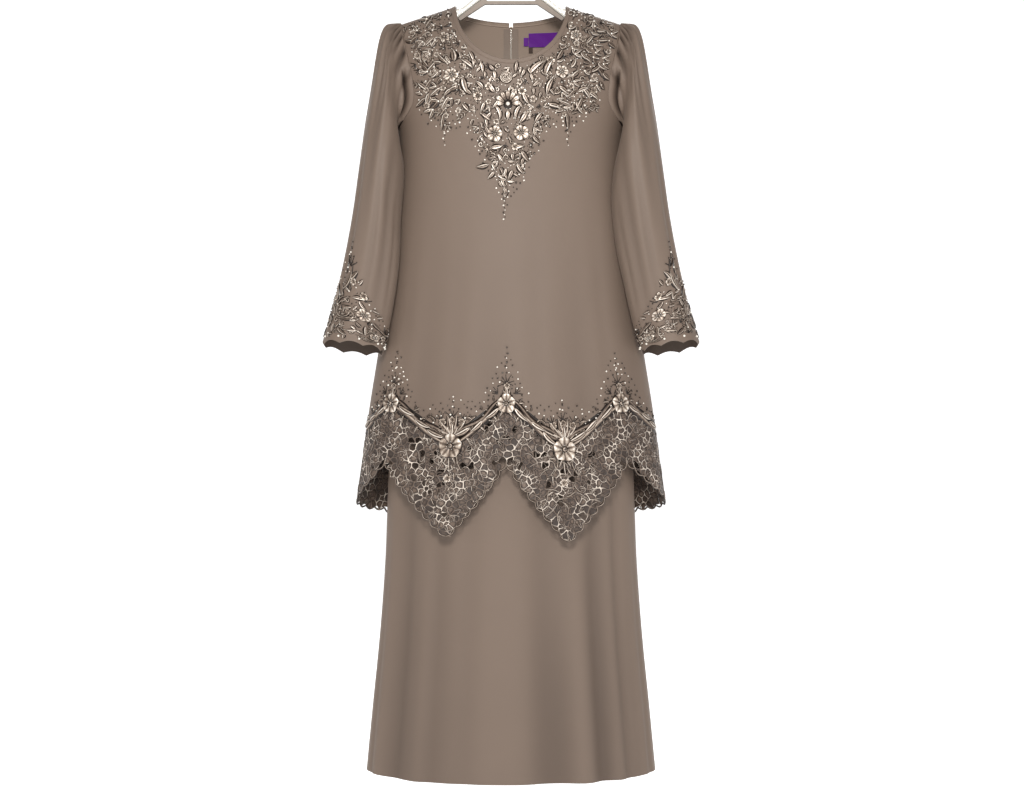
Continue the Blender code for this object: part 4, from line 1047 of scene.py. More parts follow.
def twigs(work, at, angle, reach, count, spread=120.0):
    for k in range(count):
        heading = angle + spread * (k / (count - 1) - 0.5) + dice.uniform(-8, 8)
        far = reach * dice.uniform(0.7, 1.1)
        line = curve(at, heading, far, dice.uniform(-25, 25), 6)
        strip(work, line, np.linspace(0.75, 0.35, 6), twigProfile, 0.9, 0.4)
        bead(work, "dark", *line[-1], 0.95, 0.4)


def mossDots(work, spots, dark=0.65, small=0.9, large=1.5):
    for x, z in spots:
        bead(work, "dark" if dice.random() < dark else "light", x, z, dice.uniform(small, large), 0.2)


def scatter(low, high, gap, inside, tries=9000):
    # Points in a box, at least gap apart, that lie inside.
    grid, spots = {}, []
    for _ in range(tries):
        x, z = dice.uniform(low[0], high[0]), dice.uniform(low[1], high[1])
        cell = (int(x // gap), int(z // gap))
        near = [p for i in (-1, 0, 1) for j in (-1, 0, 1) for p in grid.get((cell[0] + i, cell[1] + j), ())]
        if inside(x, z) and all((p[0] - x) ** 2 + (p[1] - z) ** 2 > gap * gap for p in near):
            grid.setdefault(cell, []).append((x, z))
            spots.append((x, z))
    return spots


def threadMaterial():
    return toneMaterial(
        "metalThread", toneStops((0.04, threadLook["edge"]), (0.34, threadLook["low"]), (0.56, threadLook["middle"]),
                                 (0.8, threadLook["high"]), (1.0, threadLook["paintedHighlight"])),
        threadLook["grain"], 0.35, 0.12, Roughness=threadLook["roughness"], Metallic=threadLook["metallic"])


def beadMaterial(name, colour, roughness, coat):
    material, tree, shader = newMaterial(name, Roughness=roughness, Coat_Weight=coat, Coat_Roughness=0.06)
    place = texturePlace(tree, "Object")
    pale = tuple(min(255, v + 16) for v in colour)
    tint = rampNode(tree, noiseNode(tree, place, 160.0), [(0.35, srgb(*colour)), (0.65, srgb(*pale))])
    grainOn(tree, shader, place, tint, 700.0, 0.08, 0.08)
    return material


metalThread = threadMaterial()
pearl = beadMaterial("pearlBead", threadLook["pearl"], 0.16, 0.6)
darkGlass = beadMaterial("darkBead", threadLook["darkBead"], 0.14, 0.5)


def beadTemplate():
    bm = bmesh.new()
    bmesh.ops.create_icosphere(bm, subdivisions=1, radius=1.06)
    verts = np.array([v.co[:] for v in bm.verts])
    faces = np.array([[v.index for v in f.verts] for f in bm.faces])
    bm.free()
    return verts, faces


roundBead = beadTemplate()


def layWork(name, work, place, replaced):
    flat, rise = np.concatenate(work["flat"]), np.concatenate(work["rise"])
    faces = np.concatenate(work["faces"])
    verts = place(flat[:, 0], flat[:, 1], rise)
    lifted = place(flat[:, 0], flat[:, 1], rise + 1) - verts
    a, b, c = (verts[faces[:, k]] for k in (0, 1, 2))
    if (np.cross(b - a, c - a) * lifted[faces[:, 0]]).sum() < 0:
        faces = faces[:, ::-1]
    thing = tonedMesh(name, verts, faces.tolist(), np.concatenate(work["tone"]), flat)
    made = [dress(thing, metalThread, replaced)]
    for kind, material in (("light", pearl), ("dark", darkGlass)):
        spots = np.array(work[kind])
        if not len(spots):
            continue
        middles = place(spots[:, 0], spots[:, 1], spots[:, 3] + spots[:, 2] * 0.7)
        verts = middles[:, None] + roundBead[0][None] * spots[:, 2][:, None, None]
        faces = roundBead[1][None] + (np.arange(len(spots)) * len(roundBead[0]))[:, None, None]
        mesh = bpy.data.meshes.new(name + kind.title())
        mesh.from_pydata((verts.reshape(-1, 3) * mm).tolist(), [], faces.reshape(-1, 3).tolist())
        mesh.shade_smooth()
        beads = bpy.data.objects.new(name + kind.title() + "Beads", mesh)
        bpy.context.scene.collection.objects.link(beads)
        made.append(dress(beads, material, replaced))
    return made


# Yoke. flowers: x, z, radius. leaves: x, z, direction, length, width. foot: the embroidery's lower edge.

yoke = {
    "lotus": (-5, -291, 23), "rose": (-8, -246, 9),
    "flowers": [(-27, -340, 14), (17, -338, 13.4), (-99, -240, 12), (85, -235, 11), (-111, -175, 9), (108, -172, 10),
                (-55, -277, 8), (18, -269, 7.3), (7, -362, 6.6), (37, -282, 6), (139, -241, 5.3), (-156, -205, 6),
                (-124, -205, 4.6), (-37, -261, 6.6), (66, -218, 7.3), (-141, -264, 5.3)],
    "leaves": [
        (31, -240, 45, 34, 6.6), (57, -242, 68, 32, 7.3), (70, -246, -111, 33, 6.6), (-80, -244, -74, 31, 7.3),
        (-94, -218, 98, 22, 8.0), (-83, -214, -36, 26, 6.0), (-51, -218, -75, 23, 4.6), (-155, -251, -39, 23, 6.0),
        (-89, -261, -158, 15, 6.0), (-81, -288, -50, 19, 5.3), (36, -274, -74, 16, 4.6), (61, -291, -13, 25, 6.0),
        (98, -291, 160, 21, 4.6), (-34, -363, 8, 21, 6.0), (6, -365, 20, 17, 5.3), (2, -373, -81, 11, 5.3),
        (17, -368, -56, 23, 6.6), (-7, -418, 173, 14, 4.0), (-7, -418, -5, 14, 4.0), (-36, -391, -167, 23, 5.3),
        (-23, -373, -52, 19, 4.6), (11, -218, -99, 22, 4.6), (118, -277, -116, 27, 5.3), (126, -185, 51, 18, 4.6),
        (116, -201, -53, 16, 4.6), (134, -233, 38, 20, 5.3), (-143, -189, 47, 21, 5.3), (-157, -194, -63, 18, 4.6),
        (-114, -186, 80, 16, 5.3), (-27, -271, 124, 19, 6.0), (25, -304, -120, 21, 6.6), (51, -304, -124, 22, 6.0),
        (-50, -304, -39, 23, 5.3), (86, -198, -119, 21, 6.0), (99, -228, 62, 19, 5.3), (80, -261, -37, 19, 6.0),
        (109, -264, -135, 20, 4.6), (-126, -218, -132, 22, 5.3), (-108, -218, 136, 20, 4.6), (-70, -201, -63, 20, 4.6),
        (-133, -244, 41, 17, 5.3), (-118, -261, -140, 22, 5.3), (-103, -277, -120, 25, 5.3),
        (-143, -277, -138, 22, 4.6),
        (-111, -304, -99, 29, 4.6), (93, -304, -86, 29, 4.6), (108, -284, -63, 24, 4.6), (-27, -234, 135, 15, 5.3),
        (23, -231, -114, 16, 4.6), (46, -251, -135, 15, 4.6), (-46, -264, 135, 18, 5.3), (-65, -274, 139, 17, 4.6),
        (-43, -287, -112, 19, 4.6), (10, -390, -58, 20, 5.3), (3, -400, -112, 19, 5.3), (-27, -403, -132, 17, 4.6),
        (-7, -430, -109, 13, 4.0), (-15, -428, 117, 12, 3.3), (36, -344, -45, 18, 4.6), (40, -330, -23, 14, 4.6),
        (20, -271, -63, 24, 5.3), (7, -284, -45, 20, 4.0), (-20, -284, -127, 18, 4.0), (-38, -340, 111, 15, 4.6),
    ],
    "foot": [(-176, -222), (-167, -258), (-143, -288), (-113, -312), (-93, -300), (-70, -314), (-50, -354),
             (-33, -388), (-17, -421), (-8, -436), (-2, -424), (20, -394), (37, -361), (56, -322), (73, -302),
             (95, -316), (116, -295), (139, -272), (160, -238), (176, -215)],
    "gap": 8.6, "neckRoom": 11, "armholeRoom": 9, "shoulderRoom": 8,
    "drops": [(-11, -440, -482, 3), (-111, -318, -357, 2), (94, -322, -358, 2)],
    "beadFall": 28, "beadGap": 5.6,
}


def inYoke(x, z, fall=0.0):
    reach = tunic["neckReach"] + yoke["neckRoom"]
    drop = tunic["neckDrop"][front] + yoke["neckRoom"]
    if (x / reach) ** 2 + (max(0, float(shoulderHeight(reach)) - z) / drop) ** 2 < 1:
        return False
    foot = float(np.interp(x, [p[0] for p in yoke["foot"]], [p[1] for p in yoke["foot"]]))
    return (z > foot - fall and z < float(shoulderHeight(x)) - yoke["shoulderRoom"]
            and abs(x) < float(edgeReach(z)) - yoke["armholeRoom"])


def fillMotif(work, x, z, heading, scale):
    kind = dice.random()
    if kind < 0.34:
        leaf(work, (x, z), heading, 15 * scale, 5.8 * scale, dice.uniform(-60, 60), dice.uniform(0.65, 1.18),
             dice.uniform(0.4, 1.1))
    elif kind < 0.56:
        for turn in (-28, 28):
            leaf(work, (x, z), heading + turn, 12 * scale, 5 * scale, -turn, dice.uniform(0.65, 1.18), 0.5)
        bead(work, "light", x, z, 1.3 * scale, 0.5)
    elif kind < 0.7:
        sprig(work, (x, z), heading, 17 * scale, 3, 6.5 * scale, dice.uniform(-50, 50))
    elif kind < 0.84:
        curl(work, (x, z), heading, 5.6 * scale, dice.choice((-1, 1)), 2.6, dice.uniform(0.7, 1.1))
    elif kind < 0.93:
        flower(work, (x, z), 4.6 * scale, 5, heading, dice.uniform(0.8, 1.05), 0.7)
    else:
        twigs(work, (x, z), heading, 8 * scale, 4, 110)


def yokeWork():
    work = newWork()
    x, z, radius = yoke["lotus"]
    lotus(work, (x, z), radius)
    x, z, radius = yoke["rose"]
    for share, turn in ((1.0, 0), (0.74, 40), (0.48, 10), (0.24, 60)):
        for k in range(3):
            arc = np.radians(np.linspace(0, 150, 9) + turn + 120 * k)
            vine(work, np.array((x, z)) + radius * share * np.stack((np.cos(arc), np.sin(arc)), axis=1), 2.6, 1, 0.9,
                 height=1.8)
    for x, z, radius in yoke["flowers"]:
        flower(work, (x, z), radius, 5, dice.uniform(0, 72), 1, 1.2)
    for x, z, angle, length, width in yoke["leaves"]:
        leaf(work, (x, z), angle, length, width * 1.4, dice.uniform(-45, 45), dice.uniform(0.75, 1.12),
             dice.uniform(0.8, 1.5))
    taken = [(p[0], p[1], p[2] + 2) for p in [yoke["lotus"], yoke["rose"]] + yoke["flowers"]]
    low, high = (-180, -440), (180, -125)
    for x, z in scatter(low, high, yoke["gap"], inYoke):
        if any((x - a) ** 2 + (z - b) ** 2 < r * r for a, b, r in taken):
            continue
        outward = math.degrees(math.atan2(z + 150, x * 1.1))
        fillMotif(work, x, z, outward + dice.gauss(0, 50),
                  dice.uniform(0.75, 1.1) * (1 + 0.25 * soft((abs(x) - 70) / 60)))
    mossDots(work, scatter(low, high, 5.2, inYoke), 0.45, 0.7, 1.25)
    beyond = scatter((-185, -475), (185, -180), yoke["beadGap"],
                     lambda x, z: inYoke(x, z, yoke["beadFall"]) and not inYoke(x, z, 0))
    mossDots(work, [p for p in beyond if dice.random() < 0.85], 0.5, 1.1, 1.9)
    for x, top, bottom, count in yoke["drops"]:
        for k in range(4 * count):
            z = top + (bottom - top) * k / (4 * count - 1)
            bead(work, "light" if k % 2 else "dark", x + 1.5 * math.sin(2.1 * k), z, 1.1 + 0.6 * (k % 3 == 2), 0.3)
        leaf(work, (x, top + 12), -90, 20, 3.6, 0, 1, 0.6)
    for sign in (-1, 1):
        for k in range(9):
            x, z = neckEdge(front, 0.5 + sign * (0.5 - 0.012 - 0.02 * k), 13.5)
            bead(work, "light" if k % 3 else "dark", x, z, 1.5, 0.3)
    return work


def onYoke(x, z, out):
    z = np.minimum(z, shoulderHeight(x) - 2)
    return onBody(front, np.clip(x, 2 - edgeReach(z), edgeReach(z) - 2), z, out)


yokeThings = layWork("yoke", yokeWork(), onYoke,
                     ["yoke_flower_%d" % n for n in range(1, 8)])
print("yoke made", sum(len(t.data.polygons) for t in yokeThings))


# Hem border. Padded scrolls run down each slope of the zigzag, a flower sits at each peak and point,
# and beads fade upward over every one of them.

border = {
    "scrollWidth": 9.0, "apart": 9.0, "wave": 2.4, "peakFlower": 17, "pointFlower": 21,
    "peakSpray": (95, 34), "pointSpray": (82, 34), "slopeSpray": 27, "beadGap": 7.4, "peakAbove": -820,
}


def slopePath(start, end, steps=25):
    # Points along one slope and the direction that leads up from it, square to the slope.
    a, b = np.array(start, float), np.array(end, float)
    along = unit(b - a)
    up = np.array((-along[1], along[0]))
    up = up if up[1] > 0 else -up
    t = np.linspace(0, 1, steps)
    return a + (b - a) * t[:, None], up, t


def slopeScroll(work, start, end):
    line, up, t = slopePath(start, end)
    length = np.linalg.norm(np.array(end) - np.array(start))
    heading = math.degrees(math.atan2(end[1] - start[1], end[0] - start[0]))
    width, apart, wave = border["scrollWidth"], border["apart"], border["wave"]
    shadow = np.full(len(t), 2.3 * width)
    strip(work, line + up * 0.4 * apart, shadow / 2,
          [(-1, 0, 0), (-0.8, 0.5, 0.06), (0.8, 0.5, 0.1), (1, 0, 0)], 0.4, 0.05)
    vine(work, line + up * (wave * np.sin(2 * np.pi * t))[:, None], width, 0.74, 0.3, cordProfile, 3.2)
    upper = line + up * (apart + 1.5 * wave * np.sin(3 * np.pi * t + 0.6))[:, None]
    vine(work, upper[1:-2], width * 0.85, 0.6, 0.3, cordProfile, 2.8)
    mirror = 1 if end[0] > start[0] else -1
    for share, size in ((0.16, 0.26), (0.42, 0.24), (0.66, 0.27)):
        at = line[int(share * (len(t) - 1))] + up * apart * dice.uniform(0.1, 0.8)
        leaf(work, at, heading + dice.uniform(-9, 9), length * size, 8.6, mirror * dice.uniform(14, 34), 1.1, 3.0)
    for share in (0.14, 0.36, 0.58, 0.8):
        at = line[int(share * (len(t) - 1))] + up * apart * 1.5
        if dice.random() < 0.5:
            curl(work, at, heading + mirror * dice.uniform(35, 70), 4.6, mirror, 2.2, 0.9, 0.6)
        else:
            leaf(work, at, heading + mirror * dice.uniform(30, 65), 13, 4.4, -40 * mirror, 0.8, 0.7)
        leaf(work, at + up * 3, heading + mirror * dice.uniform(70, 120), 9, 3, 30 * mirror, 0.55, 0.5)
    for share in (0.25, 0.5, 0.75):
        at = line[int(share * (len(t) - 1))] - up * 2.5
        leaf(work, at, heading - mirror * dice.uniform(60, 115), dice.uniform(9, 13), 3.8, 30 * mirror, 1.0, 1.0)


def peakMotif(work, at):
    x, z = at
    flower(work, (x, z + 1), border["peakFlower"], 5, 90, 1, 2.6)
    for turn, size in ((90, 21), (66, 17), (114, 17), (40, 13), (140, 13)):
        leaf(work, (x, z + 9), turn, size, 0.34 * size, 0, 0.95 if turn == 90 else 0.75, 1.4)
    flower(work, (x + 1, z + 30), 5.5, 5, 90, 0.9, 1.0)
    twigs(work, (x, z + 34), 90, 15, 7, 200)
    for sign in (-1, 1):
        twigs(work, (x + sign * 16, z + 17), 90 - sign * 45, 12, 4, 90)
        curl(work, (x + sign * 9, z - 3), 90 - sign * 120, 7, sign, 2.6, 0.9, 1.4)
        leaf(work, (x + sign * 4, z - 9), -90 + sign * 30, 13, 4.6, 0, 1.0, 1.4)
    for k in range(5):
        bead(work, "light" if k % 2 else "dark", x, z + 52 + 8 * k, 1.5 - 0.12 * k)


def pointMotif(work, at):
    x, z = at
    flower(work, (x, z + 1), border["pointFlower"], 5, 90, 1, 2.8)
    for turn, size, tone in ((90, 27, 1.05), (62, 24, 0.9), (118, 24, 0.9), (34, 24, 0.8), (146, 24, 0.8)):
        leaf(work, (x, z + 13), turn, size, 0.36 * size, 0, tone, 1.2)
    for turn, size in ((76, 36), (104, 36), (48, 38), (132, 38), (22, 40), (158, 40)):
        leaf(work, (x, z + 17), turn, size, 9.5, (90 - turn) * 0.5, 0.84, 0.6)
    for across, up, radius in ((-17, 40, 6.5), (17, 40, 6.5), (-34, 30, 5.5), (34, 30, 5.5)):
        flower(work, (x + across, z + up), radius, 5, 60, 0.85, 0.9)
    for sign in (-1, 1):
        curl(work, (x + sign * 9, z + 32), 90 - sign * 35, 10, -sign, 3.0, 0.95, 1.0)
        curl(work, (x + sign * 25, z + 29), 90 - sign * 60, 8, sign, 2.6, 0.9, 0.8)
        leaf(work, (x + sign * 30, z + 40), 90 - sign * 50, 17, 4.6, -sign * 50, 0.7, 0.7)
        twigs(work, (x + sign * 19, z + 44), 90 - sign * 30, 12, 4, 100)
    flower(work, (x, z + 44), 5.5, 5, 90, 0.9, 1.0)
    twigs(work, (x, z + 48), 90, 14, 6, 170)
    for k in range(3):
        bead(work, "light" if k % 2 == 0 else "dark", x, z + 66 + 8 * k, 1.5)


def laceHangings(work, at, foot):
    x, z = at
    drop = z - foot
    vine(work, curve((x - 2, z - 14), -86, 0.2 * drop, 10, 9), 2.6, 1.05, 0.9, height=1.3)
    for sign in (-1, 1):
        leaf(work, (x + sign * 2, z - 13), -90 + sign * 28, 17, 4.4, 0, 1, 1.1)
        vine(work, curve((x + sign * 13, z - 8), -90 + sign * 12, 0.24 * drop, sign * 60, 11), 1.8, 0.95, 0.9)
    flower(work, (x - 3, z - 0.36 * drop), 7, 5, 100, 1, 1.2)
    for _ in range(7):
        turn = dice.uniform(-150, -30)
        reach = dice.uniform(0.2, 0.6) * drop
        leaf(work, (x + 0.62 * reach * math.cos(math.radians(turn)), z + reach * math.sin(math.radians(turn))),
             turn + dice.uniform(-60, 60), dice.uniform(8, 14), 3.4, dice.uniform(-60, 60), dice.uniform(0.8, 1.1), 1.0)
    for _ in range(4):
        spot = (x + dice.uniform(-0.2, 0.2) * drop, z - dice.uniform(0.3, 0.8) * drop)
        vine(work, curve(spot, dice.uniform(-150, -30), dice.uniform(14, 24), dice.uniform(-150, 150), 11),
             1.6, 0.95, 0.9)


def sprayHeight(side, length):
    reach = border["slopeSpray"]
    for angle, edge, _ in tunic["hem"][side][1:-1]:
        tall, wide = border["peakSpray" if edge > border["peakAbove"] else "pointSpray"]
        gap = abs(length - float(lengthAt(angle)))
        reach = max(reach, border["slopeSpray"] + (tall - border["slopeSpray"]) * max(0.0, 1 - gap / wide / 1.7))
    return reach


def borderWork(side):
    work = newWork()
    keys = [(float(lengthAt(a)), float(edge), float(foot)) for a, edge, foot in tunic["hem"][side]]
    reach = keys[-1][0] - 6
    for one, other in zip(keys, keys[1:]):
        start, end = ((one[0], one[1]), (other[0], other[1]))
        if one[1] < other[1]:
            start, end = end, start
        start = (max(-reach, min(reach, start[0])), start[1])
        end = (max(-reach, min(reach, end[0])), end[1])
        slopeScroll(work, start, end)
    for length, edge, foot in keys[1:-1]:
        if edge > -820:
            peakMotif(work, (length, edge))
        else:
            pointMotif(work, (length, edge))
            laceHangings(work, (length, edge), foot)
    low, high = (-reach, min(k[1] for k in keys)), (reach, max(k[1] for k in keys) + 95)

    def above(x, z):
        gap = z - float(hemHeight(side, x, 1))
        tall = sprayHeight(side, x)
        return 9 < gap < tall and dice.random() < 1.5 - gap / tall
    mossDots(work, scatter(low, high, border["beadGap"], above), 0.68, 1.05, 1.75)
    outline = laceOutline(side)[121:]
    for first in range(0, len(outline) - 6, 6):
        line = outline[first:first + 7].copy()
        line[:, 0] = np.clip(line[:, 0], -reach - 4, reach + 4)
        strip(work, line, np.full(7, 0.9), vineProfile, 0.9, 0.5, 0.78)
    return work


def laceArcs(side):
    # Loose curved threads and fans that run over the net.
    work = newWork()
    outline = laceOutline(side)
    spots = np.array(scatter(outline.min(axis=0), outline.max(axis=0), lace["arcGap"], lambda x, z: True, 14000))
    for at in spots[insideOutline(spots, outline)]:
        heading, lines = dice.uniform(0, 360), []
        if dice.random() < 0.7:
            lines.append(curve(at, heading, dice.uniform(13, 26), dice.uniform(-190, 190)))
        else:
            lines += [curve(at, heading + 27 * k, 10.5, 45 - 30 * k, 5) for k in range(4)]
        for line in lines:
            if insideOutline(line, outline).all():
                vine(work, line, lace["arcWidth"], dice.uniform(0.6, 1.15), 0.6, height=0.7)
    flat = np.concatenate(work["flat"])
    faces = np.concatenate(work["faces"])
    verts = onHem(side, flat[:, 0], flat[:, 1], np.concatenate(work["rise"]))
    return tonedMesh("laceArcs" + ("Front" if side == front else "Back"), verts,
                     (faces[:, ::-1] if side == front else faces).tolist(), np.concatenate(work["tone"]), flat)


arcThings = {side: dress(laceArcs(side), laceThread, ["lace_" + word])
             for side, word in ((front, "front"), (back, "back"))}
for side, word in ((front, "front"), (back, "back")):
    names = ["cord_" + word] + ["hem_flower_%s_%d" % (word, n) for n in range(1, 6)]
    layWork("border" + word.title(), borderWork(side),
                                 lambda x, z, out, side=side: onHem(side, x, z, out), names)


# Cuffs. The chart runs round the sleeve from its outer side by way of the front, and up from the cuff's edge.

cuff = {
    "round": 293.0, "perRing": 62.0,
    "flowers": [(81, 66, 13), (74, 100, 7), (108, 26, 10), (126, 33, 7), (52, 112, 6)],
    "leaves": [
        (38, 96, 74, 30, 8), (46, 112, 62, 22, 6.4), (34, 116, 98, 20, 5), (56, 88, 20, 24, 6), (68, 88, -35, 20, 6),
        (96, 60, -30, 26, 7), (112, 50, -25, 22, 6), (66, 52, 200, 20, 6), (88, 46, -80, 22, 7), (128, 44, 20, 18, 4.6),
        (24, 74, 110, 26, 7), (30, 50, 130, 24, 7), (46, 30, -40, 22, 6), (60, 28, 10, 20, 5), (98, 22, 20, 20, 5),
        (118, 22, 40, 18, 5), (136, 28, 60, 16, 5), (92, 84, 10, 16, 4.6), (104, 74, 45, 14, 4), (62, 112, 70, 14, 4.4),
    ],
    "paisleys": [(44, 58, 72, 24), (106, 27, 200, 21)],
    "beadTop": [(0, 96), (20, 128), (36, 158), (60, 120), (90, 98), (120, 76), (146, 60)],
    "fillFloor": 17, "beadGap": 8.5, "fillGap": 9.5,
}


def onSleeve(sign, u, v, out):
    turn, ring = np.asarray(u, float) * 360 / cuff["round"], 10 - np.asarray(v, float) / cuff["perRing"]
    at = sleevePoint(sign, ring, turn)
    about = sleevePoint(sign, ring, turn + 1.5) - sleevePoint(sign, ring, turn - 1.5)
    down = sleevePoint(sign, ring + 0.04, turn) - sleevePoint(sign, ring - 0.04, turn)
    normal = unit(np.cross(about, down))
    middle = (at + sleevePoint(sign, ring, turn + 180)) / 2
    normal *= np.where((normal * (at - middle)).sum(-1, keepdims=True) < 0, -1, 1)
    return at + normal * np.asarray(out, float)[..., None]


def paisley(work, at, angle, size):
    t = np.linspace(0, 1, 23)
    turn = np.radians(angle) + t * math.radians(330)
    for share, width, bright in ((1.0, 3.0, 0.7), (0.74, 2.4, 0.85), (0.5, 2.2, 0.6)):
        reach = size * share * (0.46 + 0.62 * np.abs(np.cos(turn / 2 - math.radians(angle) / 2)) ** 3)
        line = np.asarray(at) + np.stack((np.cos(turn), np.sin(turn)), axis=1) * reach[:, None]
        vine(work, line, width, bright, 0.7, cordProfile, 1.8)
    for k in range(4):
        leaf(work, np.asarray(at) + size * 0.12 * np.array((math.cos(k * 1.6), math.sin(k * 1.6))),
             angle + 90 * k + 20, size * 0.34, size * 0.14, 20, 1.1, 1.0)


def cuffWork():
    work = newWork()
    for way in (1, -1):
        def at(u, v):
            return way * u, v
        for u, v, angle, size in cuff["paisleys"]:
            paisley(work, at(u, v), angle if way > 0 else 180 - angle, size)
        for u, v, radius in cuff["flowers"]:
            flower(work, at(u, v), radius, 5, dice.uniform(0, 72), 1, 1.1)
        for u, v, angle, length, width in cuff["leaves"]:
            leaf(work, at(u, v), angle if way > 0 else 180 - angle, length, width, way * dice.uniform(-30, 45),
                 dice.uniform(0.7, 1.12), dice.uniform(0.6, 1.3))
        vine(work, curve(at(43, 98), 90 if way > 0 else 90, 42, way * 30, 15), 2.0, 0.5, 0.4)
        twigs(work, at(40, 130), 90, 16, 4, 90)
        twigs(work, at(128, 48), 90 - way * 40, 16, 5, 120)
        twigs(work, at(78, 92), 90 - way * 10, 14, 4, 90)
        for k in range(6):
            bead(work, "light" if k % 3 == 0 else "dark", *at(35 - 0.3 * k, 126 + 7 * k), 1.5)
        for u, v in ((22, 11), (52, 12), (84, 12), (117, 12), (140, 10)):
            bead(work, "light", *at(u, v), 2.0, 0.2)
        tops = cuff["beadTop"]

        def under(u, v, room=0.0):
            return v < float(np.interp(abs(u), [p[0] for p in tops], [p[1] for p in tops])) - room
        low, high = (min(0, way * 146), cuff["fillFloor"]), (max(0, way * 146), 160)
        taken = [(way * p[0], p[1], p[2] + 1) for p in cuff["flowers"]]
        for u, v in scatter(low, high, cuff["fillGap"], lambda u, v: under(u, v, 42)):
            if any((u - a) ** 2 + (v - b) ** 2 < r * r for a, b, r in taken):
                continue
            fillMotif(work, u, v, 90 - way * 30 + dice.gauss(0, 60), dice.uniform(0.75, 1.05))
        dots = scatter(low, high, cuff["beadGap"], lambda u, v: under(u, v) and not under(u, v, 46))
        mossDots(work, dots, 0.75, 0.85, 1.5)
    return work


for hand, word in ((left, "left"), (right, "right")):
    layWork("cuff" + word.title(), cuffWork(),
                               lambda u, v, out, hand=hand: onSleeve(hand, u, v, out),
                               ["cuff_flower_%s_%d" % (word, n) for n in (1, 2)])


# Neck binding, waistband, skirt loops, zip and labels.

small = {
    "bindingWall": 1.5, "bandRipples": 84, "bandRipple": 0.55, "loopWidth": 6, "loopWall": 0.8,
    "notch": (118, 129, 3.2), "hangerHalf": 6, "armTop": ((118, -124.4), (166, -141)),
    "tape": (2.4, 13), "zipEnd": -530, "slider": (5.0, 6.6), "teethPitch": 2.1,
    "label": (31, 84, -147, -170), "sizeTab": (22.4, 30.6, -154, -168), "foldTab": (31, 38, -170.6, -179.5),
}


def bindingGrid():
    stop = math.acos((small["slider"][0] / 2 + 0.6) / tunic["neckReach"]) / math.pi
    half = [soft(k / 72) for k in range(73)]
    behind = [t for t in half if t < stop * 0.985] + [stop]
    turns = [(back, 1 - t) for t in reversed(behind)] + [(front, 1 - soft(k / 144)) for k in range(1, 144)]
    turns += [(back, t) for t in behind]
    grid = []
    for side, turn in turns:
        column = []
        for margin, out in ((0, -0.7), (0.15, 0.2), (0.9, 0.95), (2.1, 1.1), (3.0, 0.72), (3.8, 1.0), (5.6, 0.8),
                            (6.7, 0.45), (7.2, 0.05), (7.38, -0.3)):
            x, z = neckEdge(side, turn, margin)
            point = onBody(side, np.array(float(x)), np.array(float(z)), np.array(out))
            if turn in (0, 1):
                point = np.array((x, 0, z + out))
            column.append(point)
        grid.append(column)
    return np.array(grid)


grid = bindingGrid()
# The binding's inner side is painted lighter: painted light.
binding = clothShell("neckBinding", grid, small["bindingWall"], outward=(0, 0, -300), paintedLightAndShade=np.zeros(grid.shape[:2]),
                     insidePaintedLightAndShade=tunic["reversePaintedLight"])
dress(binding, crepeCloth, ["neck_binding"])


def waistbandGrid():
    turns = np.radians(np.arange(0, 360, 1.25))
    heights = np.linspace(skirt["bandTop"], skirt["rows"][0][0] + seamGap, 13)
    pinch = 0.5 + 0.5 * np.abs(np.sin(np.linspace(0, 3 * np.pi, 13)))
    ripple = small["bandRipple"] * np.cos(small["bandRipples"] * turns + 0.8 * np.sin(7 * turns))
    swell = ripple[:, None] * pinch[None] - 0.6
    _, width, ahead, behind = skirt["rows"][0]
    depth = np.where(np.sin(turns) < 0, ahead, behind)
    return np.stack(((width + swell) * np.cos(turns)[:, None], (depth[:, None] + swell) * np.sin(turns)[:, None],
                     np.broadcast_to(heights, swell.shape)), axis=-1)


waistband = clothShell("skirtBand", waistbandGrid(), skirt["bandWall"], ring=True)
dress(waistband, crepeCloth, ["waistband"])


def loopGrid(sign):
    start, end, sunk = small["notch"]
    middle = sign * (start + end) / 2
    (x0, z0), (x1, z1) = small["armTop"]
    notch = float(np.interp(abs(middle), (x0, x1), (z0, z1))) - sunk
    _, width, ahead, _ = skirt["rows"][0]
    foot = (ahead - 1) * math.sqrt(1 - (middle / width) ** 2)
    half = small["hangerHalf"] + 1.3
    rise = [(-foot, skirt["bandTop"] + seamGap), (-half, notch - 16), (-half, notch), (-half * 0.8, notch + 1.2)]
    rise.append((-half * 0.3, notch + 1.3))
    path = np.array(rise + [(-y, z) for y, z in reversed(rise)])
    fine = [path[0]]
    for a, b in zip(path, path[1:]):
        count = max(2, round(np.linalg.norm(b - a) / 5))
        fine += [a + (b - a) * k / count for k in range(1, count + 1)]
    fine = np.array(fine)
    offsets = np.linspace(-small["loopWidth"] / 2, small["loopWidth"] / 2, 9)
    crown = 0.12 * np.cos(np.linspace(-np.pi, np.pi, 9))
    grid = np.zeros((9, len(fine), 3))
    grid[..., 0] = middle + offsets[:, None]
    grid[..., 1] = fine[None, :, 0] * (1 + crown[:, None] * 0.05)
    grid[..., 2] = fine[None, :, 1]
    return grid, middle


def webMaterial(name, colour, roughness, across, sheen=0.2):
    # Narrow woven goods: fine ribs across, with a thread grain.
    material, tree, shader = newMaterial(name, Roughness=roughness, Sheen_Weight=sheen)
    place = texturePlace(tree, "UV")
    wave = tree.nodes.new("ShaderNodeTexWave")
    wave.bands_direction = "Y"
    wave.inputs["Scale"].default_value = across
    wave.inputs["Distortion"].default_value = 0.6
    tree.links.new(place, wave.inputs["Vector"])
    dark = tuple(v * 0.82 for v in colour)
    tint = rampNode(tree, wave.outputs["Fac"], [(0.15, srgb(*dark)), (0.7, srgb(*colour))])
    grainOn(tree, shader, place, tint, 2400.0, 0.3, 0.1)
    return material


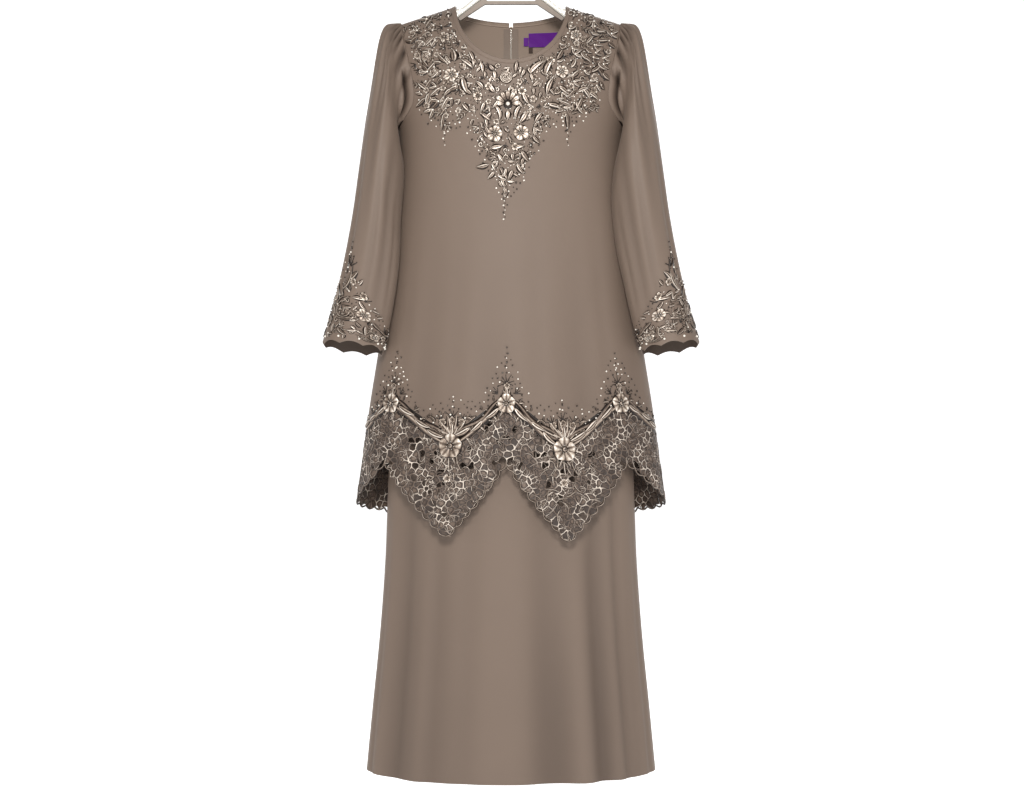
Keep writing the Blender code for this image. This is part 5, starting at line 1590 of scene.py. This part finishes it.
ribbonWeb = webMaterial("loopRibbon", (150, 136, 124), 0.45, 320.0)
tapeWeb = webMaterial("zipTape", (154, 137, 124), 0.6, 260.0, 0.08)
labelSatin = webMaterial("labelSatin", (112, 32, 160), 0.42, 420.0, 0.3)
tabWeb = webMaterial("foldTab", (82, 64, 54), 0.7, 360.0)
loops = {}
for hand, word in ((left, "left"), (right, "right")):
    grid, middle = loopGrid(hand)
    loops[hand] = clothShell("skirtLoop" + word.title(), grid, small["loopWall"], outward=(middle, 0, -300))
    dress(loops[hand], ribbonWeb, ["skirt_loop_" + word])


def patchGrid(box, out, columns, rows, ripple=0.0):
    x0, x1, top, bottom = box
    x, z = np.meshgrid(np.linspace(x0, x1, columns), np.linspace(top, bottom, rows), indexing="ij")
    wavy = out + ripple * np.sin(x * 0.21 + z * 0.1) * np.sin(z * 0.16)
    return onBody(back, x, z, wavy)


inside = -(tunic["wall"] + 0.8)
zipTop = float(neckEdge(back, 0.5, tunic["bindingWidth"])[1]) - 1
patches = {}
for name, box, columns, rows, wall, ripple, material, slotName, node in (
        ("zipTapeLeft", (*small["tape"], zipTop, small["zipEnd"]), 7, 120, 1.0, 0, tapeWeb, "zip_tape",
         "zip_tape_left"),
        ("zipTapeRight", (-small["tape"][1], -small["tape"][0], zipTop, small["zipEnd"]), 7, 120, 1.0, 0, tapeWeb,
         "zip_tape", "zip_tape_right"),
        ("labelCloth", small["label"], 41, 19, 1.0, 0.25, labelSatin, "label", "label"),
        ("sizeTab", small["sizeTab"], 9, 13, 1.0, 0.1, labelSatin, "tab", "size_tab"),
        ("foldTab", small["foldTab"], 9, 9, 1.4, 0.1, tabWeb, "tab", "fold_tab")):
    patches[name] = clothShell(name, patchGrid(box, inside, columns, rows, ripple), wall,
                               outward=(0, 0, (box[2] + box[3]) / 2))
    dress(patches[name], material, [node])


def zipTeeth():
    verts, faces = [], []
    count = int((zipTop - small["zipEnd"]) / small["teethPitch"])
    for k in range(count):
        z = zipTop - 0.8 - k * small["teethPitch"]
        for sign in (-1, 1):
            middle = onBody(back, np.array(sign * 0.75), np.array(z - 0.5 * small["teethPitch"] * (sign > 0)),
                            np.array(inside - 0.9))
            start = len(verts)
            for dx, dy, dz in ((-0.85, -0.8, -0.62), (0.85, -0.8, -0.62), (0.85, 0.8, -0.62), (-0.85, 0.8, -0.62),
                               (-0.85, -0.8, 0.62), (0.85, -0.8, 0.62), (0.85, 0.8, 0.62), (-0.85, 0.8, 0.62)):
                verts.append(middle + np.array((dx, dy, dz)))
            faces += [[start + c for c in f] for f in ((0, 3, 2, 1), (4, 5, 6, 7), (0, 1, 5, 4), (1, 2, 6, 5),
                                                       (2, 3, 7, 6), (3, 0, 4, 7))]
    mesh = bpy.data.meshes.new("zipTeeth")
    mesh.from_pydata((np.array(verts) * mm).tolist(), [], faces)
    thing = bpy.data.objects.new("zipTeeth", mesh)
    bpy.context.scene.collection.objects.link(thing)
    rounded = thing.modifiers.new("rounded", "BEVEL")
    rounded.width = 0.3 * mm
    rounded.segments = 1
    return thing


def hardMaterial(name, colour, roughness, metallic, grain, shade, coat=0.0):
    material, tree, shader = newMaterial(name, Roughness=roughness, Metallic=metallic, Coat_Weight=coat)
    place = texturePlace(tree, "Object")
    node = grainOn(tree, shader, place, srgb(*colour), grain, 0.06, shade)
    rough = mathNode(tree, "ADD", mathNode(tree, "MULTIPLY", node.outputs["Mask"], 0.16), roughness - 0.08)
    tree.links.new(rough, shader.inputs["Roughness"])
    return material


nylon = hardMaterial("nylonTeeth", (196, 184, 170), 0.3, 0.0, 500.0, 0.05, 0.3)
sliderMetal = hardMaterial("sliderMetal", (170, 155, 140), 0.32, 0.85, 900.0, 0.1)
creamPlastic = hardMaterial("creamPlastic", (214, 211, 202), 0.38, 0.0, 60.0, 0.03, 0.2)
# The hanger's underside strip is coloured taupe as painted shade.
hangerUnderShade = hardMaterial("hangerUnderShade", (134, 121, 109), 0.5, 0.0, 240.0, 0.06)
steelWire = hardMaterial("steelWire", (205, 205, 205), 0.2, 1.0, 700.0, 0.06)
dress(zipTeeth(), nylon, ["zip_chain"])
for node, material in (("zip_slider", sliderMetal), ("zip_pull_tab", sliderMetal), ("hanger", creamPlastic),
                       ("hanger_strip", hangerUnderShade), ("hook", steelWire)):
    for place in bpy.data.objects[node].material_slots:
        place.material = material
print("small pieces made")
# Floor, lights and camera.

studio = {
    "floorTop": -1.56, "backdrop": (252, 252, 252), "backdropGlow": 0.5, "worldLight": 0.4,
    "lights": [  # name, place, size, power, colour
        ("keyLight", (-0.1, -3.4, 0.8), 0.8, 90, (255, 252, 248)),
        ("fillLight", (2.2, -2.8, -0.6), 1.6, 5, (248, 250, 255)),
        ("rimLight", (0.4, 2.9, 1.3), 1.4, 60, (255, 255, 255)),
    ],
    "cameraPlace": (0.0017, -3.5, -0.778), "millimetresPerPixel": 1.7,
}


def makeStage():
    depthSteps = [(-9, 0), (4.6, 0), (5.6, 0.15), (6.3, 0.6), (6.8, 1.5), (7.0, 3.0), (7.0, 9.0)]
    verts = [(x, y, studio["floorTop"] + z) for x in (-12, 12) for y, z in depthSteps]
    n = len(depthSteps)
    faces = [(k, n + k, n + k + 1, k + 1) for k in range(n - 1)]
    mesh = bpy.data.meshes.new("floor")
    mesh.from_pydata(verts, [], faces)
    mesh.shade_smooth()
    floor = bpy.data.objects.new("floor", mesh)
    bpy.context.scene.collection.objects.link(floor)
    rounding = floor.modifiers.new("rounding", "SUBSURF")
    rounding.levels = rounding.render_levels = 2
    material, tree, shader = newMaterial("paperFloor", Roughness=0.9)
    colour = mixColour(tree, noiseNode(tree, texturePlace(tree, "Object"), 1.2), srgb(*studio["backdrop"]),
                       srgb(249, 249, 249))
    tree.links.new(colour, shader.inputs["Base Color"])
    shader.inputs["Emission Color"].default_value = (1, 1, 1, 1)
    shader.inputs["Emission Strength"].default_value = studio["backdropGlow"]
    mesh.materials.append(material)
    world = bpy.data.worlds.new("studio")
    world.use_nodes = True
    sky = world.node_tree.nodes["Background"]
    sky.inputs["Color"].default_value = (1, 1, 1, 1)
    seen = world.node_tree.nodes.new("ShaderNodeLightPath").outputs["Is Camera Ray"]
    extra = mathNode(world.node_tree, "MULTIPLY", seen, 1.0 - studio["worldLight"])
    world.node_tree.links.new(mathNode(world.node_tree, "ADD", extra, studio["worldLight"]), sky.inputs["Strength"])
    bpy.context.scene.world = world
    aim = Vector((0, 0, -0.75))
    for name, place, size, power, colour in studio["lights"]:
        lamp = bpy.data.lights.new(name, "AREA")
        lamp.shape = "SQUARE"
        lamp.size = size
        lamp.energy = power
        lamp.color = srgb(*colour)[:3]
        thing = bpy.data.objects.new(name, lamp)
        thing.location = place
        thing.rotation_euler = (aim - Vector(place)).to_track_quat("-Z", "Y").to_euler()
        bpy.context.scene.collection.objects.link(thing)
    camera = bpy.data.cameras.new("camera")
    distance = -studio["cameraPlace"][1]
    camera.sensor_width = 36
    camera.lens = 36 * distance / (1024 * studio["millimetresPerPixel"] * mm)
    cameraThing = bpy.data.objects.new("camera", camera)
    cameraThing.location = studio["cameraPlace"]
    cameraThing.rotation_euler = (math.radians(90), 0, 0)
    bpy.context.scene.collection.objects.link(cameraThing)
    bpy.context.scene.camera = cameraThing
    bpy.context.scene.view_settings.view_transform = "Standard"


makeStage()
print("stage made")
